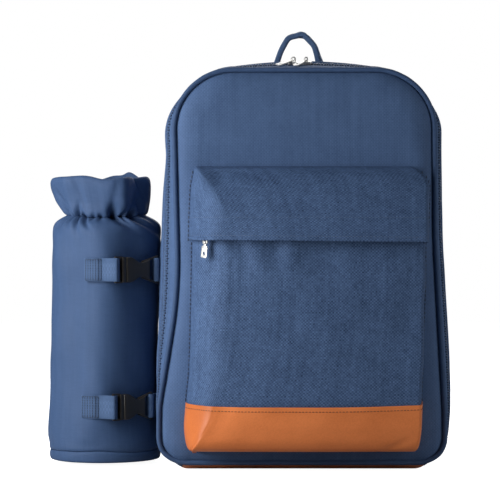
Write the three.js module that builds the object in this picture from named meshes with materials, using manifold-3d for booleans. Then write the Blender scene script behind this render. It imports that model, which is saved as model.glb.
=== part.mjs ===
// Picnic backpack with an insulated bottle sleeve buckled to its side.
// Millimetres, +Z up. The front faces -Y and the sleeve hangs on the -X side.
// The origin is the middle of the flat base that the pack stands on.
import * as THREE from "three";
import { mergeVertices } from "three/addons/utils/BufferGeometryUtils.js";
import loadManifold from "manifold-3d";

const manifold = await loadManifold();
manifold.setup();

const { degToRad, lerp } = THREE.MathUtils;
const SEAM_GAP = 0.3;
const part = new THREE.Group();
part.name = "picnic_backpack";

// Value of a named column between the rows of a table that rises along another column.
function tableAt(rows, along, column, at) {
  const next = rows.findIndex((row) => row[along] >= at);
  if (next === 0) return rows[0][column];
  if (next < 0) return rows.at(-1)[column];
  const low = rows[next - 1];
  const high = rows[next];
  return lerp(low[column], high[column], (at - low[along]) / (high[along] - low[along]));
}

// Closed solid from points and triangles, with its faces turned outwards.
function closedSolid(points, triangles) {
  let volume = 0;
  for (const [a, b, c] of triangles) {
    volume += points[a].dot(new THREE.Vector3().crossVectors(points[b], points[c]));
  }
  const geometry = new THREE.BufferGeometry().setFromPoints(points);
  geometry.setIndex(triangles.flatMap(([a, b, c]) => (volume < 0 ? [a, c, b] : [a, b, c])));
  return geometry;
}

const quad = (a, b, c, d) => [[a, b, c], [a, c, d]];

// Skin through rings of equal length. Ends are capped unless the last ring joins the first.
function loft(rings, joined = false) {
  const size = rings[0].length;
  const triangles = [];
  for (let i = 0; i < rings.length - (joined ? 0 : 1); i += 1) {
    const here = i * size;
    const next = ((i + 1) % rings.length) * size;
    for (let j = 0; j < size; j += 1) {
      const k = (j + 1) % size;
      triangles.push(...quad(here + j, here + k, next + k, next + j));
    }
  }
  if (!joined) {
    const end = (rings.length - 1) * size;
    for (let j = 0; j < size / 2 - 1; j += 1) {
      triangles.push(...quad(size - 1 - j, size - 2 - j, j + 1, j));
      triangles.push(...quad(end + j, end + j + 1, end + size - 2 - j, end + size - 1 - j));
    }
  }
  return closedSolid(rings.flat(), triangles);
}

// Skin through rings that closes on one middle point at each end.
function pillow(startPole, rings, endPole) {
  const size = rings[0].length;
  const points = [...rings.flat(), startPole, endPole];
  const start = points.length - 2;
  const last = (rings.length - 1) * size;
  const triangles = [];
  for (let j = 0; j < size; j += 1) {
    const k = (j + 1) % size;
    triangles.push([start, k, j], [start + 1, last + j, last + k]);
    for (let here = 0; here < last; here += size) {
      triangles.push(...quad(here + j, here + k, here + size + k, here + size + j));
    }
  }
  return closedSolid(points, triangles);
}

// Wall of cloth: a grid of outer points in rows that rise, thickened inwards.
function wall(grid, thickness, joined = false) {
  const rows = grid.length;
  const columns = grid[0].length;
  const inner = grid.map((row, i) => row.map((point, j) => {
    const before = joined ? (j + columns - 1) % columns : Math.max(j - 1, 0);
    const after = joined ? (j + 1) % columns : Math.min(j + 1, columns - 1);
    const across = grid[i][after].clone().sub(grid[i][before]);
    const along = grid[Math.min(i + 1, rows - 1)][j].clone().sub(grid[Math.max(i - 1, 0)][j]);
    return point.clone().addScaledVector(along.cross(across).normalize(), thickness);
  }));
  if (!joined) return loft(grid.map((row, i) => [...row, ...inner[i].toReversed()]));
  return loft([...grid, ...inner.toReversed()], true);
}

// One solid from overlapping closed pieces.
function join(...pieces) {
  const solids = pieces.map((piece) => {
    const bare = new THREE.BufferGeometry();
    bare.setAttribute("position", piece.getAttribute("position"));
    if (piece.index) bare.setIndex(piece.index);
    const welded = mergeVertices(bare, 1e-4);
    return new manifold.Manifold(new manifold.Mesh({
      numProp: 3,
      vertProperties: new Float32Array(welded.getAttribute("position").array),
      triVerts: new Uint32Array(welded.index.array),
    }));
  });
  const mesh = manifold.Manifold.union(solids).getMesh();
  const geometry = new THREE.BufferGeometry();
  geometry.setAttribute("position", new THREE.BufferAttribute(mesh.vertProperties, 3));
  geometry.setIndex(new THREE.BufferAttribute(mesh.triVerts, 1));
  return geometry;
}

// Plate cut to an outline, centred on its own mid-plane.
function plate(shape, thickness, curveSegments = 5) {
  const geometry = new THREE.ExtrudeGeometry(shape, { depth: thickness, bevelEnabled: false, curveSegments });
  return geometry.translate(0, 0, -thickness / 2);
}

// Rectangle path between two corners, optionally with rounded corners.
function rectangle(Path, left, low, right, high, round = 0) {
  const path = new Path();
  if (!round) {
    return path.moveTo(left, low).lineTo(right, low).lineTo(right, high).lineTo(left, high).closePath();
  }
  path.absarc(right - round, low + round, round, -Math.PI / 2, 0);
  path.absarc(right - round, high - round, round, 0, Math.PI / 2);
  path.absarc(left + round, high - round, round, Math.PI / 2, Math.PI);
  path.absarc(left + round, low + round, round, Math.PI, 1.5 * Math.PI);
  return path;
}

const COLOURS = {
  navy_polyester: 0x465e85,
  navy_nylon: 0x3d5274,
  navy_webbing: 0x4a618a,
  navy_zip: 0x2c3a55,
  tan_leather: 0xb06a3f,
  black_plastic: 0x1b1a1d,
  nickel: 0xc9ccd2,
};
const METALNESS = { nickel: 0.9 };

// Adds a named mesh with a material of its own.
function add(name, slot, geometry, parent = part) {
  geometry.deleteAttribute("uv");
  geometry.computeVertexNormals();
  const material = new THREE.MeshStandardMaterial({ color: COLOURS[slot], metalness: METALNESS[slot] ?? 0 });
  material.name = slot;
  const mesh = new THREE.Mesh(geometry, material);
  mesh.name = name;
  parent.add(mesh);
  return mesh;
}

// Front seam outline seen from the front: corners in order, each with the radius that rounds it.
const FRONT_SEAM = [
  { corner: "bottom left", x: -143.5, z: 12, radius: 30 },
  { corner: "left hip", x: -145, z: 66, radius: 80 },
  { corner: "left waist", x: -125, z: 182, radius: 450 },
  { corner: "top left", x: -129.5, z: 401, radius: 58 },
  { corner: "top right", x: 128.5, z: 401, radius: 58 },
  { corner: "right waist", x: 129, z: 235, radius: 900 },
  { corner: "right hip", x: 138.8, z: 60, radius: 120 },
  { corner: "bottom right", x: 138, z: 12, radius: 30 },
];
const ARC_STEP = degToRad(15);
const LONGEST_STEP = 62;

// Stations round the seam, clockwise from the bottom left, each with its outward normal.
function seamStations(corners) {
  const arcs = corners.map((corner, i) => {
    const here = new THREE.Vector2(corner.x, corner.z);
    const back = corners.at(i - 1);
    const on = corners[(i + 1) % corners.length];
    const toBack = new THREE.Vector2(back.x, back.z).sub(here).normalize();
    const toOn = new THREE.Vector2(on.x, on.z).sub(here).normalize();
    const half = Math.acos(toBack.dot(toOn)) / 2;
    const outward = Math.sign(toBack.cross(toOn));
    const inward = toBack.clone().add(toOn).normalize();
    const centre = here.clone().addScaledVector(inward, corner.radius / Math.sin(half));
    const first = here.clone().addScaledVector(toBack, corner.radius / Math.tan(half)).sub(centre).angle();
    const turn = Math.PI - 2 * half;
    const steps = Math.max(2, Math.round(turn / ARC_STEP));
    return Array.from({ length: steps + 1 }, (_, k) => {
      const angle = first - (outward * turn * k) / steps;
      const normal = new THREE.Vector2(Math.cos(angle), Math.sin(angle));
      const place = centre.clone().addScaledVector(normal, corner.radius);
      normal.multiplyScalar(outward);
      return { x: place.x, z: place.y, nx: normal.x, nz: normal.y };
    });
  });
  return arcs.flatMap((arc, i) => {
    const from = arc.at(-1);
    const to = arcs[(i + 1) % arcs.length][0];
    const steps = Math.ceil(Math.hypot(to.x - from.x, to.z - from.z) / LONGEST_STEP);
    const straight = Array.from({ length: steps - 1 }, (_, k) => ({
      x: lerp(from.x, to.x, (k + 1) / steps),
      z: lerp(from.z, to.z, (k + 1) / steps),
      nx: from.nx,
      nz: from.nz,
    }));
    return [...arc, ...straight];
  });
}
const STATIONS = seamStations(FRONT_SEAM);

// Station part of the way between two neighbours.
function stationAt(place) {
  const from = STATIONS[Math.floor(place) % STATIONS.length];
  const to = STATIONS[(Math.floor(place) + 1) % STATIONS.length];
  const share = place - Math.floor(place);
  return {
    x: lerp(from.x, to.x, share),
    z: lerp(from.z, to.z, share),
    nx: lerp(from.nx, to.nx, share),
    nz: lerp(from.nz, to.nz, share),
  };
}

// How far the walls between the panels stand out past the seam, by height.
const SIDE_BULGE = [
  { z: 12, left: 3, right: 14 },
  { z: 78, left: 7, right: 15.5 },
  { z: 112, left: 12.5, right: 16.5 },
  { z: 200, left: 18, right: 16.5 },
  { z: 240, left: 19, right: 16 },
  { z: 275, left: 17, right: 15.5 },
  { z: 320, left: 13.5, right: 15 },
];
const TOP_BULGE = 17;
const TOP_SAG = 6;
const TOP_HALF = 70;
const BASE_DROP = 12;
const CORNER_PULL = 0.42;

// Share of that bulge from front to back, for the sides and top and for the flat base.
const DEPTH_SHARE = [
  { y: -62.2, side: 0.08, base: 0.12 },
  { y: -56, side: 0.26, base: 0.8 },
  { y: -46, side: 0.4, base: 1 },
  { y: -32, side: 0.55, base: 1 },
  { y: -18, side: 0.8, base: 1 },
  { y: 10, side: 1, base: 1 },
  { y: 42, side: 0.9, base: 1 },
  { y: 56, side: 0.62, base: 0.8 },
  { y: 62.2, side: 0.12, base: 0.12 },
];

// Point on the wall between front and back panel, lifted off its outside.
function wallPoint(station, y, lift = 0) {
  const side = tableAt(SIDE_BULGE, "z", station.nx < 0 ? "left" : "right", station.z);
  const arched = TOP_BULGE - TOP_SAG * Math.min(1, (station.x / TOP_HALF) ** 2);
  const upright = station.nz > 0 ? arched : BASE_DROP;
  const column = station.nz < -0.5 ? "base" : "side";
  const corner = 1 - CORNER_PULL * (2 * station.nx * station.nz) ** 2;
  const full = (station.nx ** 2 * side + station.nz ** 2 * upright) * corner;
  const out = full * tableAt(DEPTH_SHARE, "y", column, y) + lift;
  return new THREE.Vector3(station.x + station.nx * out, y, station.z + station.nz * out);
}

// Band of the wall through rows from front to back, each with its lift off the surface.
function wallBand(places, rows, thickness) {
  return loft(places.map((place) => {
    const station = stationAt(place);
    const outer = rows.map((row) => wallPoint(station, row.y, row.lift ?? 0));
    const inner = rows.map((row) => wallPoint(station, row.y, -thickness));
    return [...outer, ...inner.reverse()];
  }));
}

// The base takes the straight bottom and the first steps of both bottom corners.
const CORNER_STEPS = 2;
const bottomStraight = STATIONS.findIndex((station, i) => i > STATIONS.length / 2 && station.nz < -0.999);
const SIDE_END = bottomStraight - CORNER_STEPS;
const END_GAP = 0.05;
const sidePlaces = Array.from({ length: SIDE_END - CORNER_STEPS + 1 }, (_, i) => CORNER_STEPS + i);
const baseCount = STATIONS.length + CORNER_STEPS - SIDE_END;
const basePlaces = Array.from({ length: baseCount + 1 }, (_, i) => SIDE_END + i);
basePlaces[0] += END_GAP;
basePlaces[baseCount] -= END_GAP;

const PADDED_WALL = 3;
const ZIP_FRONT = -46;
const ZIP_BACK = -18;
const ZIP_MIDDLE = -32;
const COIL_LIFT = 1.2;
const bandRows = (...depths) => depths.map((y) => ({ y }));

add("front_gusset", "navy_polyester", wallBand(
  sidePlaces,
  bandRows(-62.2, -56, ZIP_FRONT - SEAM_GAP / 2),
  PADDED_WALL,
));
add("main_zip", "navy_zip", wallBand(sidePlaces, [
  { y: ZIP_FRONT + SEAM_GAP / 2 },
  { y: ZIP_MIDDLE - 3, lift: COIL_LIFT },
  { y: ZIP_MIDDLE + 3, lift: COIL_LIFT },
  { y: ZIP_BACK - SEAM_GAP / 2 },
], 1.6));
add("rear_gusset", "navy_polyester", wallBand(
  sidePlaces,
  bandRows(ZIP_BACK + SEAM_GAP / 2, 10, 42, 56, 62.2),
  PADDED_WALL,
));
add("base_panel", "tan_leather", wallBand(
  basePlaces,
  bandRows(-62.2, -56, -46, 42, 56, 62.2),
  2.5,
));

// Front and back panels: rings from the seam inwards, inset in millimetres, then a share of the way to the middle.
const PANEL_MIDDLE = { x: 0, z: 205 };
function panelRing(inset, y, share = 0) {
  return STATIONS.map((station) => new THREE.Vector3(
    lerp(station.x - station.nx * inset, PANEL_MIDDLE.x, share),
    y,
    lerp(station.z - station.nz * inset, PANEL_MIDDLE.z, share),
  ));
}
function panel(outer, inner) {
  const pole = (row) => new THREE.Vector3(PANEL_MIDDLE.x, row.y, PANEL_MIDDLE.z);
  const rings = [...outer.toReversed(), ...inner].map((row) => panelRing(row.inset, row.y, row.share));
  return pillow(pole(outer.at(-1)), rings, pole(inner.at(-1)));
}
const PANEL_FACE = -71;
add("front_panel", "navy_polyester", panel([
  { inset: 0.2, y: -65 },
  { inset: 3, y: -68 },
  { inset: 8, y: PANEL_FACE },
], [
  { inset: 0.2, y: -62.5 },
  { inset: 8, y: PANEL_FACE + 2.5 },
]));
const BACK_FACE = 71;
add("back_panel", "navy_polyester", panel([
  { inset: 0.2, y: 65 },
  { inset: 4, y: 69 },
  { inset: 13, y: BACK_FACE },
], [
  { inset: 0.2, y: 62.5 },
  { inset: 13, y: 65 },
]));

// Piping: a covered cord that follows the front seam just outside the panel's edge.
const PIPING = { radius: 2.2, out: 2, y: -65.2, sides: 6 };
add("front_piping", "navy_nylon", loft(STATIONS.map((station) => (
  Array.from({ length: PIPING.sides }, (_, j) => {
    const angle = ((j + 0.5) * 2 * Math.PI) / PIPING.sides;
    const out = PIPING.out + PIPING.radius * Math.cos(angle);
    return new THREE.Vector3(
      station.x + station.nx * out,
      PIPING.y + PIPING.radius * Math.sin(angle),
      station.z + station.nz * out,
    );
  })
)), true));

// Haul handle: a folded webbing loop on the top near the back, bent over and twisted a little.
const HANDLE = [
  { x: -27.5, z: 414, turn: 0, width: 13.4 },
  { x: -26, z: 426, turn: 4, width: 14.5 },
  { x: -21.5, z: 438, turn: 6, width: 15.5 },
  { x: -14, z: 446.5, turn: 0, width: 15.5 },
  { x: -2, z: 450.5, turn: -4, width: 15.5 },
  { x: 8.5, z: 446, turn: 4, width: 15.5 },
  { x: 16, z: 437.5, turn: 14, width: 15.5 },
  { x: 20, z: 426, turn: 22, width: 14.5 },
  { x: 22.5, z: 414, turn: 0, width: 13.4 },
];
const HANDLE_Y = 49;
const HANDLE_THICKNESS = 4.6;
const SOFT_SECTION = [
  { across: -0.5, out: -0.2 }, { across: -0.44, out: -0.5 }, { across: 0.44, out: -0.5 }, { across: 0.5, out: -0.2 },
  { across: 0.5, out: 0.2 }, { across: 0.44, out: 0.5 }, { across: -0.44, out: 0.5 }, { across: -0.5, out: 0.2 },
];
const topStation = { x: 0, z: FRONT_SEAM[3].z, nx: 0, nz: 1 };
add("haul_handle", "navy_webbing", loft(HANDLE.map((row, i) => {
  const back = HANDLE[Math.max(i - 1, 0)];
  const on = HANDLE[Math.min(i + 1, HANDLE.length - 1)];
  const along = new THREE.Vector3(on.x - back.x, 0, on.z - back.z).normalize();
  const across = new THREE.Vector3(0, 1, 0).applyAxisAngle(along, degToRad(row.turn));
  const out = along.clone().cross(across);
  return SOFT_SECTION.map((corner) => {
    const point = new THREE.Vector3(row.x, HANDLE_Y, row.z);
    point.addScaledVector(across, corner.across * row.width);
    point.addScaledVector(out, corner.out * HANDLE_THICKNESS);
    const foot = i === 0 || i === HANDLE.length - 1;
    if (foot) point.z = wallPoint(topStation, point.y).z + SEAM_GAP;
    return point;
  });
})));

// Front pocket, lofted from level sections: left and right edge and how far it stands off the panel.
const POCKET_BODY = [
  { z: 22.5, left: -110, right: 104, depth: 4 },
  { z: 25, left: -114, right: 109, depth: 30 },
  { z: 31, left: -117, right: 113, depth: 42 },
  { z: 45, left: -119, right: 114.5, depth: 48 },
  { z: 71, left: -117.5, right: 114, depth: 50.5 },
  { z: 105, left: -114, right: 113.5, depth: 51 },
  { z: 160, left: -112.5, right: 115.5, depth: 50 },
  { z: 205, left: -111.5, right: 117, depth: 48.5 },
  { z: 244, left: -111, right: 117, depth: 45 },
];
const POCKET_FLAP = [
  { z: 232.5, left: -115, right: 120, depth: 58 },
  { z: 252, left: -114.5, right: 120, depth: 51.5 },
  { z: 276, left: -113.5, right: 120, depth: 40 },
  { z: 294, left: -112.5, right: 117, depth: 28 },
  { z: 303, left: -109.5, right: 108, depth: 14 },
  { z: 305.5, left: -105, right: 100, depth: 3 },
];
const POCKET_CROWN = 2;
const POCKET_RIM = PANEL_FACE - SEAM_GAP;

// The pocket's sides slant from the rim to the front: share of the slant's width, and of the depth reached there.
const POCKET_SIDE = [
  { along: 0, deep: 0 },
  { along: 0.02, deep: 0.22 },
  { along: 0.14, deep: 0.46 },
  { along: 0.4, deep: 0.7 },
  { along: 0.72, deep: 0.93 },
  { along: 1, deep: 1 },
];
const SLANT = { left: 0.62, right: 0.44, widest: 31 };

// One level section of the pocket, from its left rim round the front to its right rim.
function pocketSection(table, z, lift = 0) {
  const left = tableAt(table, "z", "left", z) - lift;
  const right = tableAt(table, "z", "right", z) + lift;
  const depth = tableAt(table, "z", "depth", z) + lift;
  const leftSlant = Math.min(SLANT.left * depth, SLANT.widest);
  const rightSlant = SLANT.right * depth;
  const crown = [0.25, 0.5, 0.75].map((share) => ({
    x: lerp(left + leftSlant, right - rightSlant, share),
    y: POCKET_RIM - depth - Math.min(POCKET_CROWN, 0.1 * depth) * Math.sin(share * Math.PI),
  }));
  const section = [
    ...POCKET_SIDE.map((step) => ({ x: left + step.along * leftSlant, y: POCKET_RIM - step.deep * depth })),
    ...crown,
    ...POCKET_SIDE.toReversed().map((step) => ({
      x: right - step.along * rightSlant,
      y: POCKET_RIM - step.deep * depth,
    })),
  ];
  return section.map((point) => new THREE.Vector3(point.x, point.y, z));
}
const pocketWall = (table, heights, thickness) => wall(heights.map((z) => pocketSection(table, z)), thickness);
const TRIM_TOP = 70.5;
const ZIP_LOW = 234;
const ZIP_HIGH = 241;
const POCKET_CLOTH = 2;
add("pocket_trim", "tan_leather", pocketWall(
  POCKET_BODY,
  [22.5, 25, 31, 45, TRIM_TOP - SEAM_GAP],
  POCKET_CLOTH,
));
add("pocket_body", "navy_polyester", pocketWall(POCKET_BODY, [TRIM_TOP, 105, 160, 205, 244], POCKET_CLOTH));
add("pocket_flap", "navy_polyester", pocketWall(POCKET_FLAP, POCKET_FLAP.map((row) => row.z), POCKET_CLOTH));
const acrossFront = (section) => section.slice(3, -3);
const zipRows = [ZIP_LOW, ZIP_HIGH].map((z) => acrossFront(pocketSection(POCKET_BODY, z, 1.3)));
add("pocket_zip", "navy_zip", wall(zipRows, 1));

// Round rod along a path that lies in the XZ plane.
function rod(path, radius, sides = 8) {
  return loft(path.map((point, i) => {
    const back = path[Math.max(i - 1, 0)];
    const on = path[Math.min(i + 1, path.length - 1)];
    const along = new THREE.Vector2(on.x - back.x, on.z - back.z).normalize();
    return Array.from({ length: sides }, (_, j) => {
      const angle = (j * 2 * Math.PI) / sides;
      const side = radius * Math.cos(angle);
      return new THREE.Vector3(point.x - along.y * side, radius * Math.sin(angle), point.z + along.x * side);
    });
  }));
}

// Flat pull tab that reaches along -X from its eye, with an oval hole near the far end.
const TAB = { thickness: 1.2, round: 1.5, hole: 4.4 };
const TOP_TAB = { start: 0.7, neck: 4.6, neckEnd: 7, wideFrom: 11, length: 23, width: 6.6 };
const POCKET_TAB = { start: 1.5, neck: 2.6, neckEnd: 2.4, wideFrom: 4.4, length: 15, width: 7.4 };
function tabShape({ start, neck, neckEnd, wideFrom, length, width }) {
  const half = width / 2;
  const shape = new THREE.Shape();
  shape.moveTo(-start, -neck / 2);
  shape.lineTo(-start, neck / 2);
  shape.lineTo(-neckEnd, neck / 2);
  shape.lineTo(-wideFrom, half);
  shape.lineTo(-length + TAB.round, half);
  shape.quadraticCurveTo(-length, half, -length, half - TAB.round);
  shape.lineTo(-length, -half + TAB.round);
  shape.quadraticCurveTo(-length, -half, -length + TAB.round, -half);
  shape.lineTo(-wideFrom, -half);
  shape.lineTo(-neckEnd, -neck / 2);
  shape.holes.push(new THREE.Path().absellipse(-length + TAB.hole, 0, 2, 1.5, 0, 2 * Math.PI, true, 0));
  return shape;
}

// Top sliders ride on the coil; each pull swings on a half-round bridge.
const SLIDER = { length: 11, width: 8, height: 2.6 };
const BRIDGE = { radius: 2.8, wire: 0.75, rise: 1.7 };
const PULL_REST = -7;
const TOP_SLIDERS = [
  { side: "left", x: -10, yaw: 45 },
  { side: "right", x: 3, yaw: 60 },
];
const slope = wallPoint(topStation, ZIP_MIDDLE + 6).z - wallPoint(topStation, ZIP_MIDDLE - 6).z;
for (const { side, x, yaw } of TOP_SLIDERS) {
  const seat = new THREE.Group();
  const onCoil = wallPoint(topStation, ZIP_MIDDLE, COIL_LIFT + SEAM_GAP);
  seat.position.set(x, onCoil.y, onCoil.z);
  seat.rotation.x = Math.atan2(slope, 12);
  part.add(seat);
  const half = SLIDER.length / 2;
  const body = plate(rectangle(THREE.Shape, -half, -SLIDER.width / 2, half, SLIDER.width / 2, 2), SLIDER.height, 3);
  body.translate(0, 0, SLIDER.height / 2);
  const axle = SLIDER.height + BRIDGE.rise;
  const arch = Array.from({ length: 9 }, (_, k) => ({
    x: -BRIDGE.radius * Math.cos((k * Math.PI) / 8),
    z: axle + BRIDGE.radius * Math.sin((k * Math.PI) / 8),
  }));
  const bridge = rod([
    { x: -BRIDGE.radius, z: SLIDER.height - 0.5 },
    ...arch,
    { x: BRIDGE.radius, z: SLIDER.height - 0.5 },
  ], BRIDGE.wire);
  bridge.rotateZ(degToRad(yaw));
  add(`top_slider_${side}`, "nickel", join(body, bridge), seat);

  const tab = tabShape(TOP_TAB);
  tab.holes.push(rectangle(THREE.Path, -BRIDGE.radius - 1.3, -1.3, -BRIDGE.radius + 1.3, 1.3));
  const pull = plate(tab, TAB.thickness, 4);
  pull.rotateY(degToRad(PULL_REST));
  pull.rotateZ(degToRad(yaw));
  pull.translate(0, 0, axle);
  add(`top_pull_${side}`, "nickel", pull, seat);
}

// Pocket slider under the flap, with a cross bar below it that carries the hanging pull.
const POCKET_PULL = { x: -95.8, z: 230, yaw: -44, lean: 8, bar: 0.7, eye: 1.15, eyeOuter: 1.9, eyeWidth: 2.6, off: 2.8 };
const slantAt = tableAt(pocketSection(POCKET_BODY, POCKET_PULL.z), "x", "y", POCKET_PULL.x);
const pullYaw = degToRad(POCKET_PULL.yaw);
const pocketSeat = new THREE.Group();
pocketSeat.position.set(
  POCKET_PULL.x + POCKET_PULL.off * Math.sin(pullYaw),
  slantAt - POCKET_PULL.off * Math.cos(pullYaw),
  POCKET_PULL.z,
);
pocketSeat.rotation.z = pullYaw;
part.add(pocketSeat);
const armX = POCKET_PULL.eyeWidth / 2 + 0.4;
const slideBody = new THREE.BoxGeometry(7, 1.6, 5).translate(0, 0.1, 5.1);
const slideArms = [-1, 1].map((sign) => (
  new THREE.BoxGeometry(1.2, 1.5, 4.6).translate(sign * (armX + 0.6), 0, 1.4)
));
const slideBar = new THREE.CylinderGeometry(POCKET_PULL.bar, POCKET_PULL.bar, 2 * armX + 1, 8).rotateZ(Math.PI / 2);
add("pocket_slider", "nickel", join(slideBody, ...slideArms, slideBar), pocketSeat);
const eyeShape = new THREE.Shape().absarc(0, 0, POCKET_PULL.eyeOuter, 0, 2 * Math.PI);
eyeShape.holes.push(new THREE.Path().absarc(0, 0, POCKET_PULL.eye, 0, 2 * Math.PI, true));
const eye = plate(eyeShape, POCKET_PULL.eyeWidth, 6).rotateY(Math.PI / 2);
const hanging = plate(tabShape(POCKET_TAB), TAB.thickness, 4);
hanging.rotateX(Math.PI / 2).rotateY(-Math.PI / 2 + degToRad(POCKET_PULL.lean));
add("pocket_pull", "nickel", join(eye, hanging), pocketSeat);

// Bottle sleeve: level sections with radius, lean to the side and depth of the gathers.
const SLEEVE = { x: -206.1, y: 40, wall: 3, columns: 48 };
const SLEEVE_BODY = [
  { z: 19, radius: 57.2, lean: -1, gather: 0 },
  { z: 36, radius: 56.4, lean: -2.2, gather: 0 },
  { z: 62, radius: 56.2, lean: -2.4, gather: 0 },
  { z: 135, radius: 56, lean: -1.2, gather: 0 },
  { z: 205, radius: 56, lean: 0, gather: 0 },
  { z: 229, radius: 54.8, lean: 0, gather: 0.8 },
  { z: 241, radius: 52, lean: 0, gather: 2 },
  { z: 251, radius: 47, lean: 0, gather: 3.6 },
  { z: 257.6, radius: 43, lean: 0, gather: 4.6 },
];
const SLEEVE_COLLAR = [
  { z: 258, radius: 43, lean: 0, gather: 4.6 },
  { z: 264, radius: 45, lean: -1, gather: 4 },
  { z: 273, radius: 47.5, lean: -2.5, gather: 3 },
  { z: 285, radius: 50.5, lean: -4.5, gather: 2.2 },
  { z: 297.5, radius: 52, lean: -6, gather: 2 },
];
const COLLAR = { low: 258, high: 297.5, tilt: 4, peak: 6, peakTurn: 142, peakWidth: 22 };

// Gathers round the neck: turn from the front towards the pack, and how deep each crease is.
const GATHERS = [
  { turn: -52.5, depth: 0.8 }, { turn: -37.5, depth: 0.7 }, { turn: -22.5, depth: 0.9 }, { turn: -7.5, depth: 1.2 },
  { turn: 15, depth: 0.9 }, { turn: 30, depth: 0.8 }, { turn: 45, depth: 0.8 }, { turn: 67.5, depth: 0.9 },
  { turn: 90, depth: 0.7 }, { turn: 112.5, depth: 0.9 }, { turn: 135, depth: 0.8 }, { turn: 157.5, depth: 0.9 },
  { turn: 180, depth: 0.7 }, { turn: 202.5, depth: 0.9 }, { turn: 225, depth: 0.8 }, { turn: 247.5, depth: 0.9 },
  { turn: 270, depth: 0.8 }, { turn: 285, depth: 0.8 },
];
const GATHER_WIDTH = 6.5;

function sleevePoint(row, turn) {
  let crease = -0.35;
  for (const gather of GATHERS) {
    const apart = THREE.MathUtils.euclideanModulo(turn - gather.turn + 180, 360) - 180;
    crease += gather.depth * Math.exp(-((apart / GATHER_WIDTH) ** 2));
  }
  const radius = row.radius - row.gather * crease;
  const angle = degToRad(turn);
  const x = SLEEVE.x + row.lean + radius * Math.sin(angle);
  const y = SLEEVE.y - radius * Math.cos(angle);
  const share = Math.max(0, (row.z - COLLAR.low) / (COLLAR.high - COLLAR.low));
  const peak = COLLAR.peak * Math.exp(-(((turn - COLLAR.peakTurn) / COLLAR.peakWidth) ** 2));
  return new THREE.Vector3(x, y, row.z + share * (peak - COLLAR.tilt * Math.cos(angle)));
}
const TURNS = Array.from({ length: SLEEVE.columns }, (_, k) => (k * 360) / SLEEVE.columns);
const sleeveRings = (rows) => rows.map((row) => TURNS.map((turn) => sleevePoint(row, turn)));
add("sleeve_body", "navy_nylon", wall(sleeveRings(SLEEVE_BODY), SLEEVE.wall, true));
add("sleeve_collar", "navy_nylon", wall(sleeveRings(SLEEVE_COLLAR), 1.6, true));

// Sleeve base: a dish whose upright edge carries on from the wall above it.
const SLEEVE_FLOOR = 4.5;
const dishRing = (z, radius) => TURNS.map((turn) => sleevePoint({ z, radius, lean: -1, gather: 0 }, turn));
const dishPole = (z) => new THREE.Vector3(SLEEVE.x - 1, SLEEVE.y, z);
add("sleeve_base", "navy_nylon", pillow(dishPole(SLEEVE_FLOOR), [
  dishRing(SLEEVE_FLOOR, 52),
  dishRing(SLEEVE_FLOOR + 2, 56.8),
  dishRing(19 - 2 * SEAM_GAP, 57.2),
  dishRing(19 - 2 * SEAM_GAP, 57.2 - SLEEVE.wall),
  dishRing(SLEEVE_FLOOR + SLEEVE.wall, 53),
], dishPole(SLEEVE_FLOOR + SLEEVE.wall)));

// Upright webbing that follows a path in plan: a strip with parallel sides.
const WEBBING = { thickness: 1.5, height: 24 };
function ribbon(path, middle, thickness = WEBBING.thickness) {
  const sides = path.map((point, i) => {
    const back = path[Math.max(i - 1, 0)];
    const on = path[Math.min(i + 1, path.length - 1)];
    const along = on.clone().sub(back).normalize();
    return new THREE.Vector2(-along.y, along.x).multiplyScalar(thickness / 2);
  });
  const strip = (lift) => path.map((point, i) => {
    const edge = point.clone().addScaledVector(sides[i], lift);
    return new THREE.Vector3(edge.x, edge.y, middle);
  });
  const half = new THREE.Vector3(0, 0, WEBBING.height / 2);
  const left = strip(1);
  const right = strip(-1);
  return loft(left.map((point, i) => [
    point.clone().add(half), point.clone().sub(half), right[i].clone().sub(half), right[i].clone().add(half),
  ]));
}

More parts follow.
